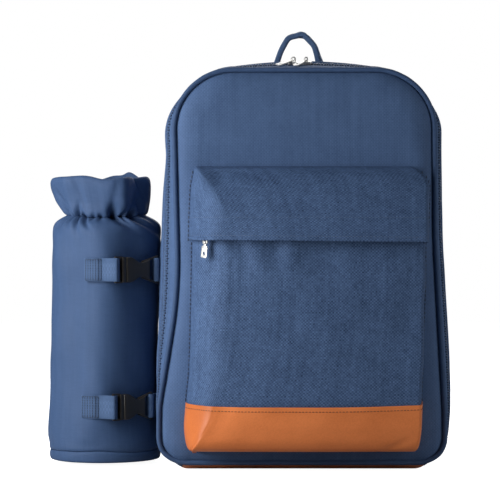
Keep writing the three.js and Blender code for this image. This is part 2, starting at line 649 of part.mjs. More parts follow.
// Two straps hold the sleeve: webbing sewn to the sleeve, a side release buckle, webbing sewn to the pack.
const STRAPS = [
  { name: "upper", z: 202.5, sewnTo: 34 },
  { name: "lower", z: 62, sewnTo: 22 },
];
const BUCKLE = { turn: 31, off: 5, maleBar: 19, femaleBar: 23.5, half: 1.5, loop: 3.2, mouth: -9, slotHigh: 12.3 };
const SEWN = { start: -19.5, end: 1, lower: 1.05, upper: 2.85, packFront: 10 };
const DOUBLED = WEBBING.thickness + SEWN.upper - SEWN.lower;
for (const { name, z, sewnTo } of STRAPS) {
  const lean = tableAt(SLEEVE_BODY, "z", "lean", z);
  const radius = tableAt(SLEEVE_BODY, "z", "radius", z);
  const axis = new THREE.Vector2(SLEEVE.x + lean, SLEEVE.y);
  const angle = degToRad(BUCKLE.turn);
  const tangent = new THREE.Vector2(Math.cos(angle), Math.sin(angle));
  const outward = new THREE.Vector2(Math.sin(angle), -Math.cos(angle));
  const middle = axis.clone().addScaledVector(outward, radius + BUCKLE.off);
  const onBuckle = (along, out) => middle.clone().addScaledVector(tangent, along).addScaledVector(outward, out);
  const onSleeve = (turn, lift) => axis.clone().add(
    new THREE.Vector2(Math.sin(degToRad(turn)), -Math.cos(degToRad(turn))).multiplyScalar(radius + lift),
  );
  const sewn = [0, 0.25, 0.5, 0.75, 1].map((share) => lerp(SEWN.start, SEWN.end, share));
  const loopAt = (along, side) => [140, 90, 45, 0, -45, -90].map((degrees) => onBuckle(
    along + side * BUCKLE.loop * Math.cos(degToRad(degrees)),
    BUCKLE.loop * Math.sin(degToRad(degrees)),
  ));
  const sewnMiddle = (SEWN.lower + SEWN.upper) / 2;
  add(`sleeve_webbing_${name}`, "navy_webbing", join(
    ribbon(sewn.map((turn) => onSleeve(turn, sewnMiddle)), z, DOUBLED),
    ribbon([
      onSleeve(SEWN.end - 2, SEWN.upper),
      onSleeve(SEWN.end, SEWN.upper),
      ...loopAt(-BUCKLE.maleBar, 1),
      onSleeve(SEWN.end, SEWN.lower),
      onSleeve(SEWN.end - 2, SEWN.lower),
    ], z),
  ));

  // The pack's side is not upright, so the webbing keeps clear of the furthest point it crosses.
  const packSide = (y) => Math.min(...[-1, 0, 1].map((step) => {
    const height = z + (step * WEBBING.height) / 2;
    const from = STATIONS.findIndex((station) => station.z >= height);
    const low = STATIONS[from - 1];
    const share = (height - low.z) / (STATIONS[from].z - low.z);
    return wallPoint(stationAt(from - 1 + share), y).x;
  }));
  const onPack = (y, lift) => new THREE.Vector2(packSide(y) - SEAM_GAP - lift, y);
  const reach = [1, 0.67, 0.33, 0].map((share) => lerp(SEWN.packFront, sewnTo, share));
  add(`pack_webbing_${name}`, "navy_webbing", join(
    ribbon(reach.map((y) => onPack(y, 1.7)), z, DOUBLED),
    ribbon([
      onPack(SEWN.packFront + 2, 2.6),
      onPack(SEWN.packFront, 2.6),
      ...loopAt(BUCKLE.femaleBar, -1),
      onPack(SEWN.packFront, 0.8),
      onPack(SEWN.packFront + 2, 0.8),
    ], z),
  ));

  const seat = new THREE.Group();
  seat.position.set(middle.x, middle.y, z);
  seat.setRotationFromMatrix(new THREE.Matrix4().makeBasis(
    new THREE.Vector3(tangent.x, tangent.y, 0),
    new THREE.Vector3(0, 0, 1),
    new THREE.Vector3(outward.x, outward.y, 0),
  ));
  part.add(seat);
  const maleSlot = -BUCKLE.maleBar + BUCKLE.half;
  const maleEnd = BUCKLE.mouth - SEAM_GAP;
  const maleFrame = rectangle(THREE.Shape, -BUCKLE.maleBar - BUCKLE.half, -13.8, maleEnd - 2, 13.8, 1.6);
  maleFrame.holes.push(rectangle(THREE.Path, maleSlot, -BUCKLE.slotHigh, maleSlot + 4.6, BUCKLE.slotHigh));
  const maleShoulder = rectangle(THREE.Shape, maleSlot + 4.6, -13, maleEnd, 13, 1.2);
  add(`male_buckle_${name}`, "black_plastic", join(plate(maleFrame, 3, 3), plate(maleShoulder, 7.6, 3)), seat);
  const femaleSlot = BUCKLE.femaleBar - BUCKLE.half;
  const femaleFrame = rectangle(THREE.Shape, 8, -13.8, BUCKLE.femaleBar + BUCKLE.half, 13.8, 1.6);
  femaleFrame.holes.push(rectangle(THREE.Path, femaleSlot - 5.6, -BUCKLE.slotHigh, femaleSlot, BUCKLE.slotHigh));
  const femaleBody = new THREE.Shape();
  femaleBody.moveTo(BUCKLE.mouth, -13);
  femaleBody.lineTo(0, -13);
  femaleBody.quadraticCurveTo(4, -12.5, 6, -9);
  femaleBody.quadraticCurveTo(8, -7.5, 14, -12);
  femaleBody.lineTo(15.5, -12);
  femaleBody.lineTo(15.5, 12);
  femaleBody.lineTo(14, 12);
  femaleBody.quadraticCurveTo(8, 7.5, 6, 9);
  femaleBody.quadraticCurveTo(4, 12.5, 0, 13);
  femaleBody.lineTo(BUCKLE.mouth, 13);
  add(`female_buckle_${name}`, "black_plastic", join(plate(femaleFrame, 3, 3), plate(femaleBody, 8.6, 3)), seat);
}

// Shoulder straps lie along the back, bowed off it; the left one mirrors the right.
const STRAP_PAD = [
  { x: 42, y: 77.4, z: 384, width: 50, thickness: 12 },
  { x: 46, y: 84, z: 358, width: 56, thickness: 14 },
  { x: 56, y: 99, z: 300, width: 60, thickness: 14 },
  { x: 68, y: 105, z: 240, width: 60, thickness: 14 },
  { x: 80, y: 101, z: 188, width: 52, thickness: 13 },
  { x: 87, y: 94, z: 156, width: 34, thickness: 8 },
];
const STRAP_WEB = [
  { x: 99, y: 80.5, z: 104 },
  { x: 107, y: 74.6, z: 72 },
  { x: 111.5, y: 72.2, z: 54 },
  { x: 115.5, y: 72.2, z: 38 },
];
const WEB_IN_ADJUSTER = [
  { along: 14.6, out: -0.4 },
  { along: 17.2, out: -2.9 },
  { along: 22, out: -3.3 },
];
const mirrored = (rows, sign) => rows.map((row) => ({ ...row, x: sign * row.x }));

// Directions of a strap at one of its rows: along it, across its width, and out from the pack.
function strapFrame(rows, i) {
  const back = rows[Math.max(i - 1, 0)];
  const on = rows[Math.min(i + 1, rows.length - 1)];
  const along = new THREE.Vector3(on.x - back.x, on.y - back.y, on.z - back.z).normalize();
  const across = new THREE.Vector3(0, 1, 0).cross(along).normalize();
  return { along, across, out: along.clone().cross(across).normalize() };
}
function strap(rows, section) {
  return loft(rows.map((row, i) => {
    const { across, out } = strapFrame(rows, i);
    return section.map((corner) => new THREE.Vector3(row.x, row.y, row.z)
      .addScaledVector(across, corner.across * row.width)
      .addScaledVector(out, corner.out * row.thickness));
  }));
}
const FLAT_SECTION = [
  { across: -0.5, out: -0.5 }, { across: 0.5, out: -0.5 }, { across: 0.5, out: 0.5 }, { across: -0.5, out: 0.5 },
];
const ADJUSTER = { width: 32, length: 24, thickness: 4, slotWidth: 26.4 };
for (const [side, sign] of [["left", -1], ["right", 1]]) {
  const pad = mirrored(STRAP_PAD, sign);
  add(`shoulder_strap_${side}`, "navy_polyester", strap(pad, SOFT_SECTION));
  const { along, across, out } = strapFrame(pad, pad.length - 1);
  const frame = rectangle(THREE.Shape, -ADJUSTER.width / 2, 0, ADJUSTER.width / 2, ADJUSTER.length, 3);
  const slotHalf = ADJUSTER.slotWidth / 2;
  frame.holes.push(rectangle(THREE.Path, -slotHalf, 4, slotHalf, 9));
  frame.holes.push(rectangle(THREE.Path, -slotHalf, 13, slotHalf, 20));
  const end = pad.at(-1);
  const seat = new THREE.Group();
  seat.position.set(end.x, end.y, end.z).addScaledVector(along, SEAM_GAP);
  seat.setRotationFromMatrix(new THREE.Matrix4().makeBasis(across, along, across.clone().cross(along)));
  part.add(seat);
  add(`strap_adjuster_${side}`, "black_plastic", plate(frame, ADJUSTER.thickness, 3), seat);
  const threaded = WEB_IN_ADJUSTER.map((row) => (
    seat.position.clone().addScaledVector(along, row.along).addScaledVector(out, row.out)
  ));
  const web = [...threaded, ...mirrored(STRAP_WEB, sign)].map(({ x, y, z }) => (
    { x, y, z, width: WEBBING.height, thickness: WEBBING.thickness }
  ));
  add(`strap_webbing_${side}`, "navy_webbing", strap(web, FLAT_SECTION));
}

part.updateMatrixWorld(true);
export default part;
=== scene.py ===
# Picnic backpack with an insulated bottle sleeve on its side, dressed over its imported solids.
# Metres, +Z up, the front towards -Y. Meshes are drawn in millimetres and scaled when they are set out.
import bisect
import math
import bmesh
import bpy
from mathutils import Matrix, Vector, noise
from mathutils.bvhtree import BVHTree


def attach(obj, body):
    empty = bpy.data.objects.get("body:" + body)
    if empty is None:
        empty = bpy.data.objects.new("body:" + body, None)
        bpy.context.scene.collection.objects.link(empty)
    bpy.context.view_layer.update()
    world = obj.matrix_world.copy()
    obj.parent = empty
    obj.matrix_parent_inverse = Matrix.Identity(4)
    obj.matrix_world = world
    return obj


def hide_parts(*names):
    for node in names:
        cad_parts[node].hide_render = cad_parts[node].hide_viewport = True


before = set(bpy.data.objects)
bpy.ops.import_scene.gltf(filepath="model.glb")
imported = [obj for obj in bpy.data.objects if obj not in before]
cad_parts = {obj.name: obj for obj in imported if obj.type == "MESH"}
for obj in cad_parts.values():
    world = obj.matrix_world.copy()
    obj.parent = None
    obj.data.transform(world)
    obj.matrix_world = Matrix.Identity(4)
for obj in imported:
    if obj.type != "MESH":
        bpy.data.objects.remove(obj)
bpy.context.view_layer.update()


# Studio: a pale floor and a white surround, lit by a large soft light on the left and by weak fills from the
# right, the back and above, and seen by a level camera two metres in front of the pack.
LIGHTS = [
    # name, place, the point that it faces, width, height, watts
    ("left_softbox", (-0.74, -0.42, 0.40), (-0.04, -0.05, 0.24), 0.5, 0.6, 9.3),
    ("right_fill", (1.3, -0.6, 0.45), (0.0, 0.0, 0.22), 0.8, 0.8, 5.2),
    ("back_fill", (0.2, 1.4, 1.0), (0.0, 0.0, 0.25), 1.0, 1.0, 10),
    ("top_fill", (0.05, 0.5, 1.5), (0.0, 0.0, 0.4), 0.8, 0.8, 3),
]
FLOOR_TONES = ((0.86, 0.86, 0.86, 1), (0.9, 0.9, 0.9, 1))
FLOOR_BOUNCE = (0.45, 0.45, 0.45, 1)
FLOOR_GLOW = 0.96

camera_data = bpy.data.cameras.new("front_camera")
camera_data.sensor_width = 36
camera_data.lens = 144
camera = bpy.data.objects.new("front_camera", camera_data)
camera.location = (-0.054, -2.065, 0.22275)
camera.rotation_euler = (math.pi / 2, 0, 0)
bpy.context.scene.collection.objects.link(camera)
bpy.context.scene.camera = camera
bpy.context.scene.view_settings.view_transform = "Standard"

for name, place, faced, wide, high, watts in LIGHTS:
    lamp_data = bpy.data.lights.new(name, "AREA")
    lamp_data.shape = "RECTANGLE"
    lamp_data.size = wide
    lamp_data.size_y = high
    lamp_data.energy = watts
    lamp = bpy.data.objects.new(name, lamp_data)
    lamp.location = place
    lamp.rotation_euler = (Vector(faced) - Vector(place)).to_track_quat("-Z", "Y").to_euler()
    bpy.context.scene.collection.objects.link(lamp)


def wire(tree, target, sockets):
    """Sets sockets of a node to values, or links them to sockets of other nodes."""
    for key, value in sockets.items():
        if isinstance(value, bpy.types.NodeSocket):
            tree.links.new(value, target.inputs[key])
        else:
            target.inputs[key].default_value = value


def node(tree, kind, sockets=None, **settings):
    made = tree.nodes.new(kind)
    for name, value in settings.items():
        setattr(made, name, value)
    wire(tree, made, sockets or {})
    return made


def math_of(tree, operation, *values):
    return node(tree, "ShaderNodeMath", dict(enumerate(values)), operation=operation).outputs[0]


def mix_of(tree, share, first, second, **settings):
    sockets = {0: share, 6: first, 7: second}
    return node(tree, "ShaderNodeMix", sockets, data_type="RGBA", **settings).outputs[2]


def noise_of(tree, place, scale, detail, **settings):
    sockets = {"Vector": place, "Scale": scale, "Detail": detail}
    return node(tree, "ShaderNodeTexNoise", sockets, **settings).outputs[0]


def new_material(name):
    material = bpy.data.materials.new(name)
    material.use_nodes = True
    return material, material.node_tree, material.node_tree.nodes["Principled BSDF"]


world = bpy.data.worlds.new("white_studio")
bpy.context.scene.world = world
world.use_nodes = True
surround = world.node_tree
surround.nodes.clear()
seen = node(surround, "ShaderNodeMixShader", {
    0: node(surround, "ShaderNodeLightPath").outputs["Is Camera Ray"],
    1: node(surround, "ShaderNodeBackground", {0: (0.86, 0.93, 1, 1), 1: 0.07}).outputs[0],
    2: node(surround, "ShaderNodeBackground", {0: (1, 1, 1, 1), 1: 1.0}).outputs[0],
})
node(surround, "ShaderNodeOutputWorld", {0: seen.outputs[0]})

floor_finish, tree, shader = new_material("pale_floor")
patches = noise_of(tree, node(tree, "ShaderNodeTexCoord").outputs["Object"], 3.0, 2.0)
seen_directly = node(tree, "ShaderNodeLightPath").outputs["Is Camera Ray"]
wire(tree, shader, {
    "Base Color": mix_of(tree, seen_directly, FLOOR_BOUNCE, mix_of(tree, patches, *FLOOR_TONES)),
    "Roughness": 0.9,
    "Specular IOR Level": 0.1,
    "Emission Color": (1, 1, 1, 1),
    "Emission Strength": math_of(tree, "MULTIPLY", seen_directly, FLOOR_GLOW),
})
bm = bmesh.new()
bmesh.ops.create_grid(bm, x_segments=1, y_segments=1, size=4)
floor_mesh = bpy.data.meshes.new("studio_floor")
bm.to_mesh(floor_mesh)
bm.free()
floor_mesh.materials.append(floor_finish)
floor = bpy.data.objects.new("studio_floor", floor_mesh)
bpy.context.scene.collection.objects.link(floor)


# Front panel: one sheet of coarse two-tone polyester over thin foam, sewn into the front seam all round.
# Its edge dives into the seam, so a dark groove runs inside the piping, and the pocket's flap pulls it in.
MM = 0.001
SHARP_EDGE = math.radians(38)
FRONT_SEAM = [
    # x, z and radius of each rounded corner, clockwise from the bottom left
    (-143.2, 10.4, 25.5),
    (-143, 66, 80),
    (-123.8, 182, 450),
    (-129.5, 401, 58),
    (128.5, 401, 58),
    (129, 235, 900),
    (138.8, 60, 120),
    (139, 10.4, 25.5),
]
PANEL_POINTS = 420
PANEL_ROLL = [
    # inset of each step from the one before, and how far forward the cloth has come there
    (1.3, -64.8),
    (1.7, -66.8),
    (2.4, -69.0),
    (3.2, -70.9),
    (4.2, -72.4),
    (5.2, -73.6),
    (6.0, -74.4),
]
PANEL_SEAM_Y = -63.4
PANEL_FACE = -71.0
PANEL_CROWN = 2.2
SEAM_TUCK = 0.2
GRID_STEP = 6.0
GRID_CUTS = [
    # direction across the cuts, the place of the first one and the span that they cover
    (Vector((1, 0, 0)), -138, 280),
    (Vector((0, 0, 1)), 8, 400),
]
FLAP_SEAM_Z = 309
FLAP_PULL = 2.2


def rounded_outline(corners, step):
    """Points and outward normals along a clockwise outline, starting at its first corner's arc."""
    outline = []
    for i, (x, z, radius) in enumerate(corners):
        here = Vector((x, z))
        back = (Vector(corners[i - 1][:2]) - here).normalized()
        on = (Vector(corners[(i + 1) % len(corners)][:2]) - here).normalized()
        half = back.angle(on) / 2
        side = math.copysign(1, back.x * on.y - back.y * on.x)
        centre = here + (back + on).normalized() * radius / math.sin(half)
        first = here + back * radius / math.tan(half) - centre
        start = math.atan2(first.y, first.x)
        turn = math.pi - 2 * half
        count = max(2, math.ceil(radius * turn / step))
        for k in range(count + 1):
            angle = start - side * turn * k / count
            normal = Vector((math.cos(angle), math.sin(angle)))
            outline.append((centre + normal * radius, normal * side))
    return outline


seam_points = rounded_outline(FRONT_SEAM, 2)
seam_runs = [0.0]
for (here, _), (on, _) in zip(seam_points, seam_points[1:] + seam_points[:1]):
    seam_runs.append(seam_runs[-1] + (on - here).length)
SEAM_LENGTH = seam_runs[-1]


def seam_at(run):
    """Place and outward normal on the front seam, at a distance along it from the bottom left corner."""
    run = run % SEAM_LENGTH
    i = bisect.bisect_right(seam_runs, run, 0, len(seam_points)) - 1
    share = (run - seam_runs[i]) / max(seam_runs[i + 1] - seam_runs[i], 1e-6)
    here, normal = seam_points[i]
    on, next_normal = seam_points[(i + 1) % len(seam_points)]
    return here.lerp(on, share), normal.lerp(next_normal, share).normalized()


def ripple(x, y, z, size, seed=0.0):
    """Soft unevenness of cloth from -1 to 1, with folds of about the given size in millimetres."""
    return noise.noise(Vector((x / size + seed, y / size - seed, z / size + 0.5 * seed)))


def smooth_step(low, high, value):
    share = min(max((value - low) / (high - low), 0), 1)
    return share * share * (3 - 2 * share)


def bump(value, middle, width):
    """Smooth rise to one at a middle, and back to nothing about two widths away."""
    return math.exp(-((value - middle) / width) ** 2)


def set_out(name, bm, material, nodes=(), body="pack", wall=0.0, smooth=True):
    """Makes a mesh in millimetres a piece that rides on a body, with its wall grown inwards."""
    bmesh.ops.scale(bm, vec=(MM, MM, MM), verts=bm.verts)
    mesh = bpy.data.meshes.new(name)
    bm.to_mesh(mesh)
    bm.free()
    mesh.shade_smooth()
    if not smooth:
        mesh.set_sharp_from_angle(angle=SHARP_EDGE)
    mesh.materials.append(material)
    piece = bpy.data.objects.new(name, mesh)
    bpy.context.scene.collection.objects.link(piece)
    if wall:
        cloth_wall = piece.modifiers.new("wall", "SOLIDIFY")
        cloth_wall.thickness = wall * MM
        cloth_wall.offset = -1
    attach(piece, body)
    if nodes:
        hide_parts(*nodes)
    return piece


def surface_group(name, *numbers):
    """Shader group that takes a place on a surface and some numbers, and gives a shade and a height."""
    group = bpy.data.node_groups.new(name, "ShaderNodeTree")
    group.interface.new_socket("Surface", in_out="INPUT", socket_type="NodeSocketVector")
    for number in numbers:
        group.interface.new_socket(number, in_out="INPUT", socket_type="NodeSocketFloat")
    for result in ("Shade", "Height"):
        group.interface.new_socket(result, in_out="OUTPUT", socket_type="NodeSocketFloat")
    return group, node(group, "NodeGroupInput").outputs


# The weave has threads over and under each other; each thread has its own shade, which drifts along it.
weave, given = surface_group("woven_threads", "Threads per metre", "Drift")
counted = node(weave, "ShaderNodeVectorMath", {0: given[0], "Scale": given[1]}, operation="SCALE").outputs[0]
warp_count, weft_count = node(weave, "ShaderNodeSeparateXYZ", {0: counted}).outputs[:2]


def thread_set(count, along, apart, offset):
    """The threads of one direction: the number of each, its round back and its drifting shade."""
    number = math_of(weave, "FLOOR", count)
    back = math_of(weave, "SINE", math_of(weave, "MULTIPLY", math_of(weave, "FRACT", count), math.pi))
    drifted = node(weave, "ShaderNodeCombineXYZ", {
        0: math_of(weave, "MULTIPLY_ADD", number, apart, offset),
        1: math_of(weave, "MULTIPLY", along, given[2]),
    })
    return number, back, noise_of(weave, drifted.outputs[0], 1.0, 1.0, noise_dimensions="2D")


warp_number, warp_back, warp_shade = thread_set(warp_count, weft_count, 7.31, 0.0)
weft_number, weft_back, weft_shade = thread_set(weft_count, warp_count, 5.17, 40.0)
over = math_of(weave, "FLOORED_MODULO", math_of(weave, "ADD", warp_number, weft_number), 2.0)
shade = node(weave, "ShaderNodeMix", {
    0: over,
    2: math_of(weave, "MULTIPLY", weft_shade, 0.7),
    3: math_of(weave, "MULTIPLY_ADD", warp_shade, 0.7, 0.3),
})
height = node(weave, "ShaderNodeMix", {
    0: over,
    2: math_of(weave, "MULTIPLY", weft_back, math_of(weave, "MULTIPLY_ADD", warp_back, 0.45, 0.55)),
    3: math_of(weave, "MULTIPLY", warp_back, math_of(weave, "MULTIPLY_ADD", weft_back, 0.45, 0.55)),
})
node(weave, "NodeGroupOutput", {0: shade.outputs[0], 1: height.outputs[0]})


def ramp_of(tree, value, low, high, at_low=0.0, at_high=1.0):
    """Value carried from one range over to another, and held at both ends."""
    sockets = {0: value, 1: low, 2: high, 3: at_low, 4: at_high}
    return node(tree, "ShaderNodeMapRange", sockets).outputs[0]


def relief_of(tree, height, strength, distance):
    sockets = {"Strength": strength, "Distance": distance, "Height": height}
    return node(tree, "ShaderNodeBump", sockets).outputs[0]


STREAK_SCALE = (170.0, 9.0, 1.0)
STREAK_SHARE = 0.4
SHEEN_TINT = (0.4, 0.58, 1.0, 1)


def woven_finish(name, deep, light, threads, drift, rough, relief, sheen, mottle=0.2, twist=0.75):
    """Woven cloth: two tones of thread, slow streaks along the warp, mottling, and the threads' relief."""
    material, tree, shader = new_material(name)
    surface = node(tree, "ShaderNodeUVMap", uv_map="cloth").outputs[0]
    sockets = {"Surface": surface, "Threads per metre": threads, "Drift": drift}
    woven = node(tree, "ShaderNodeGroup", sockets, node_tree=weave).outputs
    drawn = node(tree, "ShaderNodeMapping", {"Vector": surface, "Scale": STREAK_SCALE}).outputs[0]
    tone = math_of(tree, "MULTIPLY", noise_of(tree, drawn, 1.0, 2.0), STREAK_SHARE)
    tone = math_of(tree, "MULTIPLY_ADD", noise_of(tree, surface, 34.0, 3.0), mottle, tone)
    tone = math_of(tree, "MULTIPLY_ADD", woven["Shade"], twist, tone)
    middle = (STREAK_SHARE + mottle + twist) / 2
    spread = ramp_of(tree, tone, middle - 0.42, middle + 0.38)
    wire(tree, shader, {
        "Base Color": mix_of(tree, spread, (*deep, 1), (*light, 1)),
        "Roughness": ramp_of(tree, woven["Height"], 0.0, 1.0, rough + 0.12, rough),
        "Normal": relief_of(tree, woven["Height"], relief, 0.0004),
        "Specular IOR Level": 0.16,
        "Sheen Weight": sheen,
        "Sheen Roughness": 0.5,
        "Sheen Tint": SHEEN_TINT,
    })
    return material


pack_cloth = woven_finish("navy_polyester", (0.041, 0.078, 0.168), (0.086, 0.149, 0.291), 620.0, 0.25, 0.62,
                          relief=0.35, sheen=0.03, mottle=0.4, twist=0.5)


def lay_panel(seam_y, roll, crown, toward):
    """Panel inside the seam: its rolled edge in steps, then a face cut into small squares and crowned."""
    bm = bmesh.new()
    made = bmesh.ops.create_circle(bm, cap_ends=True, segments=PANEL_POINTS, radius=1)
    for i, vert in enumerate(made["verts"]):
        point, normal = seam_at(SEAM_LENGTH * i / PANEL_POINTS)
        point = point - normal * SEAM_TUCK
        vert.co = (point.x, seam_y, point.y)
    bm.faces.ensure_lookup_table()
    face = bm.faces[0]
    for inset, y in roll:
        bmesh.ops.inset_region(bm, faces=[face], thickness=inset, use_even_offset=True, use_boundary=True)
        for vert in face.verts:
            vert.co.y = y
    region = [face, *face.edges, *face.verts]
    for across, first, span in GRID_CUTS:
        for k in range(int(span / GRID_STEP) + 1):
            cut_at = across * (first + k * GRID_STEP)
            region = bmesh.ops.bisect_plane(bm, geom=region, plane_co=cut_at, plane_no=across)["geom"]
    for vert in bm.verts:
        x, _, z = vert.co
        rise = max(0, 1 - (x / 132) ** 2) * max(0, 1 - ((z - 205) / 192) ** 2)
        rim = smooth_step(-63, PANEL_FACE, toward * vert.co.y)
        vert.co.y += toward * (-crown * rise ** 0.7 + rim * 0.35 * ripple(x, 0, z, 38, 3.1))
    bm.normal_update()
    facing = sum(f.normal.y * f.calc_area() for f in bm.faces)
    if facing * toward > 0:
        bmesh.ops.reverse_faces(bm, faces=bm.faces)
    surface = bm.loops.layers.uv.new("cloth")
    for f in bm.faces:
        for loop in f.loops:
            loop[surface].uv = (loop.vert.co.x * MM, loop.vert.co.z * MM)
    return bm


front_panel = lay_panel(PANEL_SEAM_Y, PANEL_ROLL, PANEL_CROWN, 1)
for vert in front_panel.verts:
    across = smooth_step(-124, -96, vert.co.x) * smooth_step(122, 100, vert.co.x)
    vert.co.y += FLAP_PULL * across * bump(vert.co.z, FLAP_SEAM_Z, 17)
panel_skin = BVHTree.FromBMesh(front_panel)
set_out("front_panel_cloth", front_panel, pack_cloth, ["front_panel"], wall=1.2)


# Walls round the pack: one long band bulges between the front and the back seam. It is a front strip, the
# zip and a rear strip of padded cloth, and a leather-look base closes it at the bottom.
SIDE_BULGE = [
    # z, then how far the left and the right side stand out
    (12, 3, 8),
    (45, 6, 12.5),
    (78, 9.5, 15.5),
    (97, 14, 16),
    (122, 17.8, 16.5),
    (147, 20.4, 16.5),
    (172, 22.2, 16.5),
    (200, 22.8, 16.5),
    (222, 22.2, 16.2),
    (240, 20.6, 16),
    (275, 18, 15.5),
    (320, 14, 15),
]
DEPTH_SHARE = [
    # y, then the share of that bulge for the sides and top, and for the base
    (-62.2, 0.08, 0.12),
    (-56, 0.26, 0.5),
    (-46, 0.4, 0.72),
    (-32, 0.55, 0.9),
    (-18, 0.8, 1),
    (10, 1, 1),
    (42, 0.9, 1),
    (56, 0.62, 0.8),
    (62.2, 0.12, 0.12),
]
TOP_BULGE = 17
TOP_SAG = 6
TOP_SAG_HALF = 70
BASE_DROP = 10.8
TOP_PULL = 0.42
FOOT_PULL = 0.6
LEFT_END = 4.0
RIGHT_END = 7.0
END_FADE = 18
HEM_LIFT = 1.1


def table_at(rows, column, at):
    """Smooth value of a column between the rows of a table that rises along its first column."""
    if at <= rows[0][0]:
        return rows[0][column]
    if at >= rows[-1][0]:
        return rows[-1][column]
    i = next(k for k in range(1, len(rows)) if rows[k][0] >= at)
    low = rows[i - 1]
    high = rows[i]
    before = rows[max(i - 2, 0)]
    after = rows[min(i + 1, len(rows) - 1)]
    span = high[0] - low[0]
    t = (at - low[0]) / span
    rise_low = span * (high[column] - before[column]) / (high[0] - before[0])
    rise_high = span * (after[column] - low[column]) / (after[0] - low[0])
    bend = t * t * (3 - 2 * t)
    return ((1 - bend) * low[column] + bend * high[column]
            + (t ** 3 - 2 * t * t + t) * rise_low + (t ** 3 - t * t) * rise_high)


def wall_at(run, y, lift=0.0):
    """Point on the wall between front and back, at a distance along the seam and a depth, lifted off it."""
    point, normal = seam_at(run)
    side = table_at(SIDE_BULGE, 1 if normal.x < 0 else 2, point.y)
    arched = TOP_BULGE - TOP_SAG * min(1, (point.x / TOP_SAG_HALF) ** 2)
    upright = arched if normal.y > 0 else BASE_DROP
    to_base = smooth_step(0.28, 0.53, -normal.y)
    share = (1 - to_base) * table_at(DEPTH_SHARE, 1, y) + to_base * table_at(DEPTH_SHARE, 2, y)
    pull = 1 - (TOP_PULL if normal.y > 0 else FOOT_PULL) * (2 * normal.x * normal.y) ** 2
    out = (normal.x ** 2 * side + normal.y ** 2 * upright) * pull * share + lift
    return Vector((point.x + normal.x * out, y, point.y + normal.y * out))


def lay_cloth(columns, ups, place, size, outward, joined=False):
    """Grid of cloth: place(share, up) gives each point, size its width and height, and outward which way
    the middle of the sheet faces."""
    bm = bmesh.new()
    rows = len(ups) - 1
    bmesh.ops.create_grid(bm, x_segments=columns, y_segments=rows, size=0.5)
    surface = bm.loops.layers.uv.new("cloth")
    for f in bm.faces:
        for loop in f.loops:
            across = (loop.vert.co.x + 0.5) * size[0]
            upward = (loop.vert.co.y + 0.5) * size[1]
            loop[surface].uv = (across * MM, upward * MM)
    middle = min(bm.faces, key=lambda f: f.calc_center_median().length)
    for vert in bm.verts:
        up = ups[round((vert.co.y + 0.5) * rows)]
        vert.co = place(vert.co.x + 0.5, up)
    if joined:
        bmesh.ops.remove_doubles(bm, verts=bm.verts, dist=0.001)
    bm.normal_update()
    if middle.normal.dot(Vector(outward)) < 0:
        bmesh.ops.reverse_faces(bm, faces=bm.faces)
    return bm


def steps(low, high, count):
    return [low + (high - low) * k / count for k in range(count + 1)]


bottom_run = (seam_points[0][0] - seam_points[-1][0]).length
SIDE_FROM = LEFT_END
SIDE_TO = SEAM_LENGTH - bottom_run - RIGHT_END
SIDE_RUN = SIDE_TO - SIDE_FROM


def band(depths, lift):
    """Strip of the wall from the bottom left, over the top, to the bottom right."""
    def place(share, y):
        run = SIDE_FROM + share * SIDE_RUN
        from_end = smooth_step(0, END_FADE, min(share, 1 - share) * SIDE_RUN)
        return wall_at(run, y, lift(wall_at(run, y), y) * from_end)
    return lay_cloth(340, depths, place, (SIDE_RUN, depths[-1] - depths[0]), (0, 0, 1))


def front_strip_lift(point, y):
    hem = HEM_LIFT * smooth_step(-54, -48, y)
    return 0.5 * math.sin(math.pi * min(1, (y + 62.2) / 16)) + hem + 0.3 * ripple(*point, 22, 1.0)


def rear_strip_lift(point, y):
    sewn = smooth_step(-18, -8, y) * smooth_step(62, 50, y)
    hem = HEM_LIFT * smooth_step(-9, -15, y)
    return hem + sewn * (0.9 * ripple(*point, 60, 5.0) + 0.5 * ripple(*point, 24, 9.0))


front_strip = band(steps(-63.2, -46.0, 7), front_strip_lift)
set_out("front_gusset_cloth", front_strip, pack_cloth, ["front_gusset"], wall=2.0)
rear_strip = band(steps(-18.0, 62.6, 22), rear_strip_lift)
set_out("rear_gusset_cloth", rear_strip, pack_cloth, ["rear_gusset"], wall=2.4)


# Main zip: two woven tapes with a nylon coil between them, sewn to both strips with a row of stitches each.
# The coil's turns interlock from both sides, so they stand out alternately to the front and to the back.
ZIP_MIDDLE = -32.0
ZIP_STITCHES = (-43.6, -20.4)
COIL_PITCH = 2.6
COIL_TURN = (1.6, 4.6, 2.2)
COIL_REACH = 0.9
COIL_LIFT = 1.2
STITCH_PITCH = 3.4
ENDS_CLEAR = 22.0
ZIP_RUN = SIDE_RUN - 2 * ENDS_CLEAR


def zip_lift(point, y):
    coil = 0.7 * math.exp(-((y - ZIP_MIDDLE) / 3.2) ** 4)
    drawn = sum(0.3 * bump(y, row, 1.0) for row in ZIP_STITCHES)
    return coil - drawn + 0.15 * ripple(*point, 16, 2.0)


zip_cloth = woven_finish("navy_zip_tape", (0.046, 0.084, 0.170), (0.088, 0.148, 0.280), 1400.0, 0.05, 0.6,
                         relief=0.4, sheen=0.04)
tape = band(steps(-46.0, -18.0, 28), zip_lift)
set_out("main_zip_tape", tape, zip_cloth, ["main_zip"], wall=1.2)


def wall_frame(run, y, lift):
    """Point on the wall with the directions along the seam, across it to the back, and outwards."""
    point = wall_at(run, y, lift)
    along = (wall_at(run + 1, y, lift) - wall_at(run - 1, y, lift)).normalized()
    across = (wall_at(run, y + 1, lift) - wall_at(run, y - 1, lift)).normalized()
    return point, along, across, along.cross(across).normalized()


